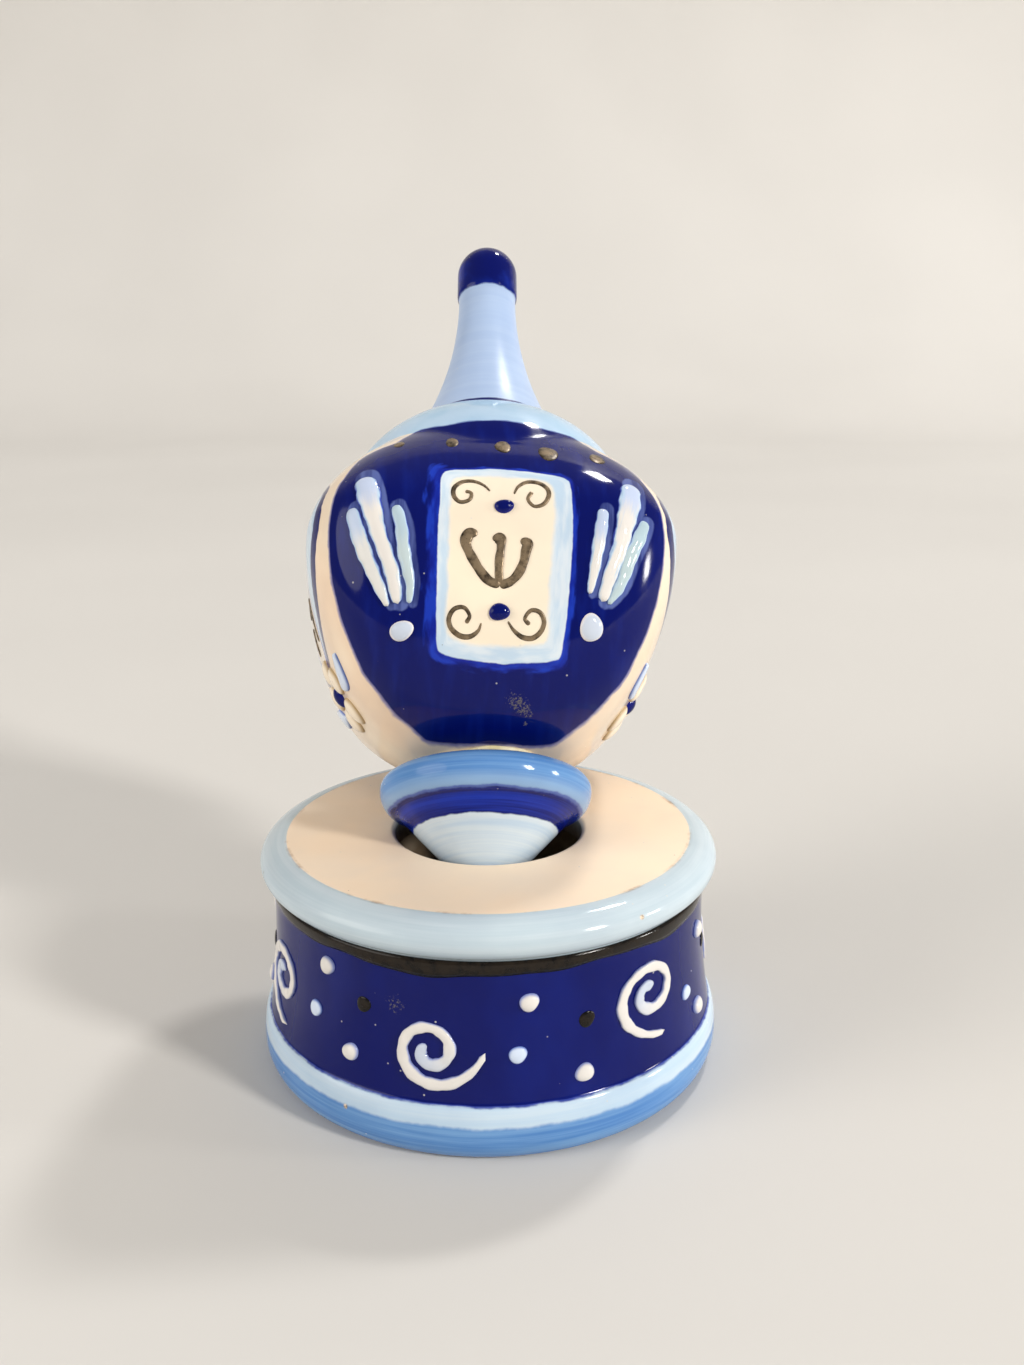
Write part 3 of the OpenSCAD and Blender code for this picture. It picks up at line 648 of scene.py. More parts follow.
def stand_paint():
    """The stand: bare cream top, pale rolled rim, dark wall, a flange in two blues, bare inside."""
    made, k, out = new_material("stand_paint")
    at = k.object()
    x, y, z = k.parts(at)[:3]
    z = k.mul(z, 1 / MM)
    r = k.mul(k.math("SQRT", k.add(k.mul(x, x), k.mul(y, y))), 1 / MM)
    across = k.attr("across")
    rim = k.group(BRUSHED, Colour=RIM_BLUE, Thin=RIM_THIN, Across=across, Amount=0.55)["Colour"]
    pale = k.group(BRUSHED, Colour=FLANGE_PALE, Thin=PALE_BLUE, Across=across, Amount=0.7)["Colour"]
    mid = k.group(BRUSHED, Colour=MID_BLUE, Thin=MID_BLUE_THIN, Across=across, Amount=0.8)["Colour"]
    # from the foot upwards
    colour = k.mix(edge(k, k.sub(FLANGE_H * 0.68, z), 0.8, 0.35), mid, pale)
    mottle = k.ramp(k.noise(k.stretch(at, 1, 1, 0.5), 80, 3.0), 0.45, 0.8)
    wall = k.mix(k.mul(mottle, 0.16), NAVY, NAVY_BRUSHED)
    colour = k.mix(edge(k, k.sub(FLANGE_H - 0.05, z), 0.5, 0.12), colour, NAVY_THIN)
    colour = k.mix(edge(k, k.sub(FLANGE_H + 0.15, z), 0.4, 0.1), colour, wall)
    colour = k.mix(edge(k, k.sub(LINE_LOW + LINE_H - 0.2, z), 0.2, 0.1), colour, rim)
    # the bare plate, with a tan line of painted shade and some dirt along its edge, where the rim meets it
    top = k.math("GREATER_THAN", z, STAND_H - 1.2)
    plate = edge(k, k.sub(r, PLATE_R + 0.2), 0.16, 0.12)
    bare = k.mul(plate, top)
    tone = k.mix(k.ramp(k.noise(at, 45, 4.0), 0.35, 0.7), PLATE, PLATE_WORN)
    # painted shade: a tan line darkens the plate's edge under the rim, mixed with dirt
    groove = k.ramp(k.math("ABSOLUTE", k.sub(r, PLATE_R + 0.15)), 0.05, 0.5, 1.0, 0.0)
    shade_and_dirt = k.mul(groove, k.ramp(k.noise(at, 120, 5.0, 0.75), 0.46, 0.7))
    colour = k.mix(bare, colour, tone)
    colour = k.mix(k.mul(k.mul(shade_and_dirt, top), 0.75), colour, TAN)
    # chips on rim and flange, and a rubbed place on the wall
    for place, size in CHIPS:
        d = k.sub(k.distance(at, place), size)
        chip = k.mix(k.ramp(k.noise(at, 1500, 2.0), 0.3, 0.6), SCUFF, PLATE_WORN)
        colour = k.mix(edge(k, d, 0.9, 0.12), colour, chip)
    near = k.ramp(k.distance(at, WALL_SCUFF), 0.5, 3.6, 1.0, 0.0)
    worn = rubbed_specks(k, k.mul(near, 0.93))
    colour = k.mix(worn, colour, SCUFF)
    below = k.math("LESS_THAN", z, STAND_H - 1.2)
    hollow = k.mul(k.math("LESS_THAN", r, WALL_R - WALL_T + 0.05), below)
    inside = k.math("MAXIMUM", k.math("LESS_THAN", r, HOLE_R + 0.05), hollow)
    raw = k.mix(k.ramp(k.noise(at, 220, 4.0), 0.4, 0.7), RAW_CLAY, RAW_CLAY_DARK)
    under = k.math("LESS_THAN", z, 0.05)
    unglazed = k.math("MAXIMUM", inside, under)
    colour = k.mix(unglazed, colour, raw)
    dull = k.math("MAXIMUM", k.math("MAXIMUM", k.mul(bare, 0.9), unglazed), worn)
    glazed(k, out, colour, pooling=0.2, dust=0.7, depth=0.05, rough_mask=dull, rough=0.42)
    return made


def foot_paint():
    """The foot: streaky medium blue bead, dark band under it, pale point."""
    made, k, out = new_material("foot_paint")
    height = k.attr("height")
    across = k.attr("across")
    bead = k.group(BRUSHED, Colour=MID_BLUE, Thin=MID_BLUE_THIN, Across=across, Amount=0.75)["Colour"]
    low = k.mix(k.ramp(height, -3.0, -0.6), BEAD_LOW, bead)
    point = k.group(BRUSHED, Colour=POINT_PALE, Thin=POINT_BLUE, Across=across, Amount=0.5)["Colour"]
    band = k.group(BRUSHED, Colour=NAVY, Thin=NAVY_BRUSHED, Across=across, Amount=0.85)["Colour"]
    colour = k.mix(edge(k, k.add(height, 3.05), 0.5, 0.12), low, BAND_EDGE)
    colour = k.mix(edge(k, k.add(height, 3.3), 0.45, 0.1), colour, band)
    colour = k.mix(edge(k, k.add(height, 6.0), 0.5, 0.12), colour, point)
    glazed(k, out, colour, pooling=0.25, dust=0.4, depth=0.04)
    return made


def stem_paint():
    """The stem: satin lavender with faint streaks, a dark line at its base and a dark cap."""
    made, k, out = new_material("stem_paint")
    height = k.attr("height")
    across = k.attr("across")
    colour = k.group(BRUSHED, Colour=LAVENDER, Thin=LAVENDER_THIN, Across=across, Amount=0.35)["Colour"]
    colour = k.mix(edge(k, k.sub(height, TOP_S + 1.35), 0.3, 0.15), colour, NAVY)
    cap = edge(k, k.sub(CAP_S + 0.1, height), 0.9, 0.2)
    dab = k.ramp(k.noise(k.object(), 160, 3.0), 0.4, 0.7)
    colour = k.mix(cap, colour, k.mix(k.mul(dab, 0.5), NAVY, NAVY_BRUSHED))
    glazed(k, out, colour, pooling=0.2, dust=0.4, depth=0.04,
           rough_mask=k.sub(1.0, cap), rough=0.2)
    return made


def enamel(name, full, thin, streaky=0.25, inner=None):
    """Raised enamel: the colour is full on the crown and thin, with the ground showing, at the edge.
    Where the piece carries a tint, the full colour turns to the inner one."""
    made, k, out = new_material(name)
    at = k.object()
    crown = k.attr("crown")
    patch = k.math("MULTIPLY_ADD", k.noise(at, 520, 3.0), streaky, k.sub(crown, streaky * 0.5))
    if inner is not None:
        full = k.mix(k.attr("tint"), full, inner)
    colour = k.mix(k.ramp(patch, 0.15, 0.72), thin, full)
    glazed(k, out, colour, pooling=0.15, dust=0.2, depth=0.08)
    return made


def ray_enamel():
    """Rays: white enamel dragged down from a pale lavender dab, see-through blue along its edges."""
    made, k, out = new_material("ray_enamel")
    grain = k.attr("grain", "Vector")
    run = k.parts(grain)[1]
    drag = k.noise(k.stretch(grain, 2.4, 0.3, 1), 1.0, 3.0)
    body = k.math("MULTIPLY_ADD", k.sub(drag, 0.5), 0.9, k.attr("crown"))
    core = k.mix(k.ramp(k.math("MULTIPLY_ADD", drag, 3.0, run), 4.0, 8.0), RAY_TOP, WHITE)
    core = k.mix(k.attr("tint"), core, RAY_GREEN)
    colour = k.mix(k.ramp(body, 0.22, 0.58), RAY_EDGE, k.mix(k.ramp(body, 0.5, 0.85), PALE_BLUE, core))
    glazed(k, out, colour, pooling=0.15, dust=0.2, depth=0.1)
    return made


def lustre(name, bright, dark, metallic, rough):
    """Metal lustre fired on thin: brown-gold broken by darker patches. Each stroke is lighter on its crown
    and darker at its thin edges, which is partly painted highlight.
    """
    made, k, out = new_material(name, metallic=metallic)
    at = k.object()
    # partly painted highlight: the crown of each stroke is made lighter than its thinner edges
    film_and_highlight = k.add(k.noise(at, 700, 4.0, 0.65), k.mul(k.attr("crown"), 0.22))
    k.put(k.mix(k.ramp(film_and_highlight, 0.45, 0.8), dark, bright), out["Base Color"])
    k.put(k.ramp(k.noise(at, 900, 3.0), 0.3, 0.7, rough, rough + 0.12), out["Roughness"])
    k.put(bump(k, k.noise(at, 1500, 2.0), 0.02), out["Normal"])
    return made


def glue_clear():
    """Glue that has yellowed, with small bubbles."""
    made, k, out = new_material("glue_clear")
    at = k.object()
    cells = k.node("ShaderNodeTexVoronoi", feature="F1")
    k.put(at, cells.inputs["Vector"])
    cells.inputs["Scale"].default_value = 1600
    bubble = k.ramp(cells.outputs["Distance"], 0.1, 0.3, 1.0, 0.0)
    colour = k.mix(k.ramp(k.noise(at, 400, 3.0), 0.35, 0.7), GLUE, GLUE_PALE)
    k.put(k.mix(k.mul(bubble, 0.35), colour, GLUE_BUBBLE), out["Base Color"])
    k.put(k.ramp(bubble, 0.0, 1.0, 0.12, 0.25), out["Roughness"])
    k.put(bump(k, bubble, 0.05), out["Normal"])
    return made


# Chips of the stand's glaze as [place, radius], and the middle of its rubbed place
CHIPS = [
    [(-31.5, -11.2, 31.6), 0.35], [(20.6, -26.9, 32.0), 0.3], [(-19.0, -28.6, 5.2), 0.4],
    [(26.5, 21.0, 31.2), 0.35], [(-9.0, 33.3, 4.6), 0.4],
]
WALL_SCUFF = (-11.9, -29.7, 21.2)

BODY_PAINT = body_paint()
STAND_PAINT = stand_paint()
FOOT_PAINT = foot_paint()
STEM_PAINT = stem_paint()
WHITE_ENAMEL = enamel("white_enamel", WHITE, WHITE_THIN)
SPIRAL_ENAMEL = enamel("spiral_enamel", WHITE, WHITE_THIN, 0.5, DAB_BLUE)
DAB_ENAMEL = enamel("dab_enamel", DAB_BLUE, DAB_WHITE, 0.4)
RAY_ENAMEL = ray_enamel()
PALE_ENAMEL = enamel("pale_enamel", DROP_BLUE, DROP_EDGE)
BLUE_ENAMEL = enamel("blue_enamel", NAVY, NAVY_BEAD_EDGE)
CREAM_ENAMEL = enamel("cream_enamel", PETAL, PETAL_EDGE, 0.1)
LUSTRE_FILM = lustre("lustre_brown", LUSTRE, LUSTRE_DARK, 0.35, 0.25)
LUSTRE_BLACK = lustre("lustre_black", LINE_BROWN, LINE_BLACK, 0.0, 0.05)
GLUE_CLEAR = glue_clear()


# Stand

def make_stand():
    """Outline of the stand from the middle of its underside: out to the flange, up the wall, over rim
    and plate, down the hole and the hollow to the middle of the floor, turned as one closed skin."""
    mid = FLANGE_H * 0.45
    foot_r = WALL_R + WALL_FLARE
    flange_r = WALL_R + FLANGE_OUT
    z = np.linspace(FLANGE_H, LINE_LOW, 30)
    rim_mid = STAND_H - RIM_H / 2
    outline = np.concatenate([
        [[0.01, 0], [12, 0], [24, 0]],
        quarter(WALL_R, mid, FLANGE_OUT, mid, -90, 0, 20),
        quarter(foot_r, mid, flange_r - foot_r, FLANGE_H - mid, 4, 90, 20),
        np.stack([wall_radius(z), z], -1)[1:],
        [[WALL_R, STAND_H - RIM_H + 0.4]],
        quarter(PLATE_R, rim_mid, RIM_W, RIM_H / 2, -56, 90, 34),
        [[r, STAND_H] for r in np.linspace(PLATE_R - 1, HOLE_R + HOLE_ROUND + 0.5, 8)],
        quarter(HOLE_R + HOLE_ROUND, STAND_H - HOLE_ROUND, HOLE_ROUND, HOLE_ROUND, 90, 180, 9),
        [[HOLE_R, STAND_H - PLATE_T + 0.2], [HOLE_R + 0.2, STAND_H - PLATE_T],
         [WALL_R - WALL_T, STAND_H - PLATE_T], [WALL_R - WALL_T, FLOOR_T], [14, FLOOR_T], [0.01, FLOOR_T]],
    ])
    return turned(outline, 240, on_stand)


def make_line():
    """Lustre line under the rim: a thin skin on the wall whose lower edge wanders with the brush."""
    sides = 240
    a = np.arange(sides) * TAU / sides
    low = LINE_LOW + 0.55 + 0.3 * np.sin(5 * a + 1) + 0.18 * np.sin(11 * a) + 0.08 * np.sin(23 * a + 2)
    high = np.full(sides, STAND_H - RIM_H + 0.25)
    rows = []
    for f, out in ((0.0, -0.05), (0.0, 0.06), (0.25, 0.2), (0.7, 0.28), (1.0, 0.25), (1.0, -0.05)):
        z = low + (high - low) * f
        r = wall_radius(z) + out
        rows.append(np.stack([r * np.cos(a), r * np.sin(a), z], -1))
    grid = np.array(rows)
    crown = np.repeat(np.array([0.0, 0.1, 0.7, 1.0, 0.7, 0.0])[:, None], sides, 1)
    closed = np.concatenate([grid, grid[:1]])
    return skin(closed, crown=np.concatenate([crown, crown[:1]]))


# Spirals round the wall: place in degrees, rise above the wall's middle, tilt and width of each, and
# how the drops in the gap after each are lifted and moved
SPIRAL_AT = [-103, -46.5, 5, 57, 109, 158, 206]
SPIRAL_RISE = [-1.4, 2.4, -1, 1.8, -1.2, 1.6, 0.4]
SPIRAL_TILT = [0, -72, 10, -80, 15, -60, -75]
SPIRAL_SIZE = [1, 1.2, 1.05, 1.2, 1, 1.15, 1.15]
SPIRAL_R = 4.2
SPIRAL_TURNS = 1.45
SPIRAL_POINTS = 100
SPIRAL_H = 0.45
# the inner turn was trailed with a bluer load of the brush
SPIRAL_TINT = smooth(np.linspace(-1.6, 1.4, SPIRAL_POINTS))[:, None]
GAP_LIFT = [0.8, 1, -0.4, 1, 0.2, 0.8, 2.2]
GAP_MOVE = [0, 0.1, 0, 0.05, -0.05, 0.05, 0.025]


def spiral_path(i):
    """A spiral on the wall: it winds in as a power of the way, from a tail that swings out by a
    fading exponential, and the end of the trail curls into the eye."""
    f = np.linspace(0, 1.12, SPIRAL_POINTS)
    a = 360 * SPIRAL_TURNS * f
    eye = 0.3 - 1.3 * np.clip(f - 1, 0, 1)
    r = SPIRAL_R * (eye + 0.8 * np.clip(1 - f, 0, 1) ** 0.8 + 0.6 * np.exp(-a / 50))
    t = np.radians(SPIRAL_TILT[i] - a)
    x = math.radians(SPIRAL_AT[i]) * WALL_R + r * SPIRAL_SIZE[i] * np.cos(t)
    z = WALL_MID + SPIRAL_RISE[i] + r * np.sin(t)
    width = 0.8 - 0.42 * smooth((0.14 - f) / 0.14) + 0.07 * np.sin(9 * f + i) + 0.05 * np.sin(31 * f + 2 * i)
    return np.stack([x, z, width], -1)


def wall_dots(share, sway, rise, r, height):
    """Rows for the drops between the spirals, at a share of the way from one to the next that sways
    from gap to gap."""
    at = np.radians(SPIRAL_AT)
    gap = np.diff(np.append(at, at[0] + TAU))
    i = np.arange(len(at))
    x = (at + (share + sway * np.array(GAP_MOVE)) * gap) * WALL_R
    z = WALL_MID + rise + np.array(GAP_LIFT)
    w = r * (1 + 0.1 * np.sin(3.1 * i + share * 9))
    return np.stack([x, z, w, w * (0.93 + 0.06 * np.cos(2.2 * i)), np.full(len(i), height)], -1)


add_piece("stand_drum", make_stand(), STAND_PAINT, "stand", "stand_glaze", "stand")
add_piece("stand_line", make_line(), LUSTRE_BLACK, "stand", "lustre", "stand_lustre_line")
add_piece("stand_spiral_trails", merge(
    trail(wall_surface, spiral_path(i), np.full(SPIRAL_POINTS, SPIRAL_H), lump=0.09, flat=0.5, tint=SPIRAL_TINT)
    for i in range(len(SPIRAL_AT))), SPIRAL_ENAMEL, "stand", "white_enamel", "stand_spirals")
add_piece("stand_white_drops", drops(wall_surface, np.concatenate([
    wall_dots(0.41, 1, 4.6, 1.38, 0.8), wall_dots(0.64, -2, -6.4, 1.38, 0.8)])),
    WHITE_ENAMEL, "stand", "white_enamel", "stand_white_dots")
add_piece("stand_blue_drops", drops(wall_surface, wall_dots(0.36, -0.5, -2.6, 1.22, 0.55)),
          PALE_ENAMEL, "stand", "pale_blue_enamel", "stand_blue_dots")
add_piece("stand_lustre_drops", drops(wall_surface, wall_dots(0.66, 0, 0.9, 1.2, 0.25)),
          LUSTRE_BLACK, "stand", "lustre", "stand_lustre_dots")


# Dreidel

def make_foot():
    """Outline of the foot: blunt point, bead, boss."""
    return turned(np.concatenate([
        [[0.01, -POINT_LEN + POINT_ROUND * 0.45]],
        quarter(0, -POINT_LEN + 1.25, 0.9, 0.85, -80, -45, 6),
        np.linspace([1.0, -POINT_LEN + 1.05], [FOOT_BEAD_R - 0.25, -FOOT_BEAD_DOWN - 0.2], 24),
        quarter(FOOT_BEAD_R, 0, FOOT_BEAD_W, FOOT_BEAD_DOWN, -80, 0, 26),
        quarter(FOOT_BEAD_R, 0, FOOT_BEAD_W, FOOT_BEAD_UP, 4, 90, 24),
        [[BOSS_R + 0.4, FOOT_BEAD_UP], [BOSS_R, FOOT_BEAD_UP + 0.3], [BOSS_R, BOSS_H], [0.01, BOSS_H]],
    ]), 200, leaning)


def make_stem():
    """Outline of the stem: an arc that leaves the dome and ends upright, then the rounded cap."""
    drop = STEM_BASE_R - STEM_R
    flare = (STEM_LEN ** 2 + drop ** 2) / (2 * drop)
    a = np.linspace(math.asin(STEM_LEN / flare), 0, 60)
    arc = np.stack([STEM_R + flare * (1 - np.cos(a)), CAP_S - flare * np.sin(a)], -1)
    cap = quarter(0, CAP_S + CAP_LEN, CAP_R, CAP_R, 0, 89.5, 26)
    return turned(np.concatenate([
        [[0.01, TOP_S]], arc[:-1],
        [[STEM_R + 0.02, CAP_S + 0.05], [CAP_R - 0.06, CAP_S + 0.45], [CAP_R, CAP_S + 0.9]], cap,
    ]), 120, leaning)


def make_glue():
    """Squeezed-out glue: a ring of oval section that swells into lumps, most at the front right."""
    sides = 160
    a = np.arange(sides) * TAU / sides
    lump = 0.12 + 0.1 * np.sin(7 * a) * np.sin(3 * a + 1) + 0.2 * np.exp(-((a - math.radians(281)) / 0.4) ** 2)
    b = np.arange(12)[:, None] * TAU / 12
    r = 9.0 + 2.1 * lump + (0.5 + 0.6 * lump) * np.cos(b)
    s = 3.35 + 0.62 * lump + (0.3 + 0.5 * lump) * np.sin(b)
    grid = leaning(np.stack([r * np.cos(a), r * np.sin(a), s], -1)).transpose(1, 0, 2)
    crown = np.clip(np.sin(b) * np.ones((1, sides)), 0, 1).T
    closed = np.concatenate([grid, grid[:1]])[::-1]
    return skin(closed, crown=np.concatenate([crown, crown[:1]])[::-1])


def both_sides(half):
    """A closed outline from its right half, given from the bottom to the top."""
    return [list(p) for p in half] + [[-u, s] for u, s in half[-2:0:-1]]


def painted_distance(points, u, s):
    """Distance to a closed smooth line through given points, negative inside: the nearest of
    the line's short stretches, with the sign from how often a ray to the right crosses them."""
    line = line_through(points + points[:1], 7 * len(points))
    best = np.full(u.shape, 1e9)
    inside = np.zeros(u.shape, bool)
    for (x0, y0), (x1, y1) in zip(line[:-1], line[1:]):
        dx, dy = x1 - x0, y1 - y0
        f = np.clip(((u - x0) * dx + (s - y0) * dy) / (dx * dx + dy * dy), 0, 1)
        best = np.minimum(best, (u - x0 - f * dx) ** 2 + (s - y0 - f * dy) ** 2)
        if dy:
            inside ^= ((y0 > s) != (y1 > s)) & (u < x0 + (s - y0) * dx / dy)
    return np.clip(np.where(inside, -1, 1) * np.sqrt(best), -4, 4)


# Painted outlines of a face as [u, s]; the panel and the shield are given by their right halves
PANEL = [
    [0, 4.1], [5, 4.2], [8.6, 4.7], [10.4, 5.6], [13.5, 7.6], [16.3, 10.3], [18.3, 12.6], [20.3, 16.4],
    [21.8, 20.2], [22.9, 24.5], [23.4, 29.5], [23.2, 33], [22.5, 36.2], [21, 39.8], [19.4, 43],
    [16.8, 44.8], [14.6, 45.6], [13.2, 47.6], [11.4, 49.3], [7.5, 49.2], [4, 49.6], [0, 49.8],
]
SHIELD = [
    [0, 17.2], [5, 17.8], [9.4, 20], [12.6, 22.6], [15.4, 25.8], [17.5, 29], [19.3, 32.2], [20, 35.6],
    [18.4, 39], [12, 41], [0, 41.6],
]
TILE = [
    [1, 12.2], [5.3, 12.5], [7.9, 12.8], [8.7, 13.4], [9, 16.4], [9.4, 21.2], [9.7, 26.5], [9.8, 31.7],
    [9.6, 36.2], [9.1, 37.4], [8.1, 37.9], [5.4, 38.3], [0.6, 38.8], [-4.2, 38.5], [-7.2, 38.1], [-8.1, 37.2],
    [-8.4, 33.7], [-8.6, 28], [-8.5, 18.2], [-8.3, 14.4], [-7.7, 13.3], [-5.7, 12.8], [-2, 12.4],
]
FIELD = [
    [2, 14.3], [5.2, 14.6], [6.6, 15.3], [6.7, 18.7], [6.8, 23.6], [7.1, 28.8], [7.3, 33.2], [6.8, 36.3],
    [3.8, 37.1], [-0.5, 37.3], [-4.8, 37], [-6.6, 36.1], [-7, 33.7], [-7.1, 28.2], [-7.2, 18.2],
    [-6.9, 15.4], [-5.2, 14.7], [-2.1, 14.3],
]


# Smears of thin enamel beside the rays: how far they lie to the right, and how far they reach out
SMEAR_SHIFT = 0.5
SMEAR_OUT = 0.2


def smear_distance(u, s):
    """Distance to the smears beside the rays, negative inside: the nearest of the circles that a ray's
    path carries, each a little larger than the ray is wide and moved to its right."""
    best = np.full(u.shape, 4.0)
    for rows in RAYS:
        for x, y, width in line_through(rows, 36):
            best = np.minimum(best, np.hypot(u - x - SMEAR_SHIFT, s - y) - width - SMEAR_OUT)
    return best


def make_body():
    """The shell: at each height a square section with rounded corners, or the dome where that is
    larger. Carries the distances to the painted outlines of each face."""
    rows, sides = 230, 340
    t = np.linspace(0, 1, rows)
    s = SEAT_S + (TOP_S - SEAT_S) * (t - np.sin(TAU * t) / TAU * 0.75)
    a = np.arange(sides) * TAU / sides
    s, a = np.meshgrid(s, a, indexing="ij")
    square, dome = square_radius(s, a), dome_radius(s)
    r = soft_max(square, dome)
    x, y = r * np.cos(a), r * np.sin(a)
    k = np.round((a + TAU / 4) / (TAU / 4)).astype(int) % 4
    turn = k * TAU / 4
    u = x * np.cos(turn) + y * np.sin(turn)
    blue = k % 2 == 0

    # the panels reach a little past the corners, so their place across runs on to the next face
    over = np.where(y < 0, x, -x)
    # the shields are a little wider on their front halves
    wide = 1 + 0.14 * ((k == 1) & (u < 0)) + 0.07 * ((k == 3) & (u > 0))

    def on(faces, distance):
        value = np.full(s.shape, 4.0)
        value[faces] = distance(u[faces], s[faces])
        return value

    shield = np.where(blue, 4.0, painted_distance(both_sides(SHIELD), u / wide, s))
    panel = painted_distance(both_sides(PANEL), over, s)
    along = np.where(panel < 1, over, u)
    tile = on(blue, lambda u, s: painted_distance(TILE, u, s))
    stroke = (0.45 + 1.3 * smooth((-u - 6) / 3) * smooth((s - 12) / 3) + 0.45 * smooth((u - 6.5) / 3)
              + 0.55 * smooth((15 - s) / 3))
    # a rubbed place that runs down to the right, a chip below it and fine specks above
    right, down = (u - 4.1) / 1.35, (7.4 - s) / 0.88
    rubbed = (np.exp(-((0.79 * right + 0.62 * down) / 1.7) ** 2 - ((0.79 * down - 0.62 * right) / 0.8) ** 2)
              + np.exp(-((right - 0.3) ** 2 + (down - 1.6) ** 2) / 0.1)
              + 0.74 * np.exp(-((u - 3) / 4.2) ** 2 - ((s - 8.6) / 2.2) ** 2))
    values = dict(
        panel=panel,
        tile=tile,
        halo=np.where(blue, tile / stroke, 4.0),
        field=on(blue, lambda u, s: painted_distance(FIELD, u, s)),
        shield=shield,
        shield_field=np.where(blue, 4.0, shield + 1.0 + 1.5 * np.exp(-((s - 28) / 7) ** 2)),
        badge=on(~blue, lambda u, s: np.clip(np.hypot(u, (s - 26) * 0.92) - 6.8, -4, 4)),
        collar=np.clip(square - dome, -4, 4),
        scuff=np.where(k == 0, np.minimum(rubbed, 1), 0.0),
        smear=on(blue, smear_distance),
        brush=np.stack([along, s, 40.0 * np.where(panel < 1, 2 * (y > 0), k)], -1),
    )
    grid = leaning(np.stack([x, y, s], -1))
    low = leaning(np.array([0, 0, SEAT_S]))
    high = leaning(np.array([0, 0, TOP_S]))
    return skin(grid, low, high, **values)


def strokes(k, lines, height, n=44, tints=None, **how):
    """Trails on face k along smooth lines through [u, s, half width] rows."""
    surface = face_surface(k)
    tints = tints or [0.0] * len(lines)
    return merge(trail(surface, line_through(p, n), np.full(n, height), tint=tint, **how)
                 for p, tint in zip(lines, tints))


# Lines of the game marks, scrolls and rays as [u, s] or [u, s, half width], and drops as
# [u, s, half width, half height, rise]
SHIN = [
    [[-3.2, 28.4, 0.53], [-4.3, 28.3, 0.85], [-4.8, 27.3, 0.78], [-4.5, 26.2, 0.66], [-3.7, 24.8, 0.66],
     [-2.6, 23.2, 0.65], [-1.4, 22.1, 0.65], [0, 21.7, 0.59]],
    [[2.6, 27.6, 0.47], [3.6, 27.3, 0.8], [3.4, 26.2, 0.68], [3.1, 24.7, 0.64], [2.4, 23.2, 0.64],
     [1.3, 22.1, 0.61], [-0.1, 21.6, 0.59]],
    [[-1.2, 27.7, 0.41], [-0.2, 27.8, 0.83], [0, 26.8, 0.61], [-0.2, 24.8, 0.61], [-0.2, 23, 0.59],
     [0, 21.8, 0.53]],
]
GIMEL = [
    [[-1.9, 28.6, 0.53], [0.4, 28.3, 0.8], [1.5, 26.7, 0.68], [1.6, 24.2, 0.64], [2.1, 21.6, 0.59]],
    [[0.3, 24.4, 0.47], [-0.9, 23.0, 0.65], [-2.5, 21.7, 0.71]],
]
NUN = [
    [[-1.8, 28.8, 0.53], [0.9, 28.5, 0.8], [1.8, 27, 0.68], [1.9, 23.6, 0.64], [0.7, 22.1, 0.66],
     [-2.1, 21.9, 0.71]],
]
HEI = [
    [[-3.5, 28.6, 0.53], [0, 28.8, 0.71], [2.7, 28.5, 0.78], [3.5, 26.8, 0.68], [3.4, 21.8, 0.61]],
    [[-2.3, 26.4, 0.53], [-2.5, 24.2, 0.68], [-2.2, 21.8, 0.59]],
]
SCROLLS = [
    [[-1.6, 34.6], [-2.5, 35.6], [-3.9, 36.2], [-5.4, 36.0], [-6.5, 34.9], [-6.5, 33.6], [-5.6, 32.8],
     [-4.4, 33.2], [-4.2, 34.2], [-5, 34.4]],
    [[1.7, 34.3], [2.3, 35.6], [3.6, 36.5], [5.2, 36.4], [6.3, 35.5], [6.5, 34.3], [5.8, 33.0],
     [4.5, 32.6], [3.6, 33.6], [4.2, 34.8]],
    [[-2.4, 16.9], [-2.8, 15.9], [-3.9, 15.2], [-5.3, 15.3], [-6.5, 16.2], [-6.8, 17.4], [-6.1, 18.5],
     [-4.8, 18.7], [-4.0, 17.7], [-4.5, 16.8]],
    [[1.2, 17.2], [2.0, 16.2], [3.2, 15.4], [4.6, 15.3], [5.7, 16.1], [6.1, 17.3], [5.5, 18.4],
     [4.3, 18.6], [3.5, 17.6], [4.2, 16.9]],
]
RAYS = [
    [[-20.4, 32.4, 0.8], [-19.6, 29.5, 1.05], [-18.5, 26.3, 1.05], [-17.4, 23.9, 0.95],
     [-16.2, 21.3, 0.8], [-15, 18.9, 0.4]],
    [[-18.9, 37.2, 1.5], [-18.1, 34, 1.65], [-17.3, 31, 1.35], [-16.6, 28.4, 1.15], [-15.4, 25.3, 1.05],
     [-14.5, 22.7, 1.05], [-13.7, 19.1, 0.75]],
    [[-14.4, 32.2, 0.75], [-13.5, 29, 0.95], [-13.1, 25.9, 0.95], [-12.5, 23.3, 0.8],
     [-12.1, 21.4, 0.65], [-12.2, 19.1, 0.4]],
    [[14.1, 32.9, 0.85], [13.8, 30.2, 0.95], [13.2, 26.6, 0.9], [12.8, 23.9, 0.75], [12.2, 21.1, 0.4]],
    [[18.4, 38, 1.45], [18, 34.4, 1.65], [17.2, 31, 1.35], [16.3, 27.3, 1.2], [15.2, 24.2, 1.05],
     [14, 20.3, 0.75]],
    [[20.3, 32.2, 0.75], [19.3, 29.6, 1.0], [18.1, 27, 1.05], [17.1, 24.1, 0.9], [16.2, 22.1, 0.75],
     [14.9, 20.1, 0.35]],
]
RAY_TINTS = [0.15, 0.0, 0.75, 0.05, 0.0, 0.85]
BEADS = [[0.35, 32.4, 1.35, 1.0, 0.75], [0, 18.3, 1.38, 1.12, 0.8]]
RAY_DROPS = [[-13.1, 15.9, 1.6, 1.2, 0.7], [12.7, 17, 1.55, 1.8, 0.75]]
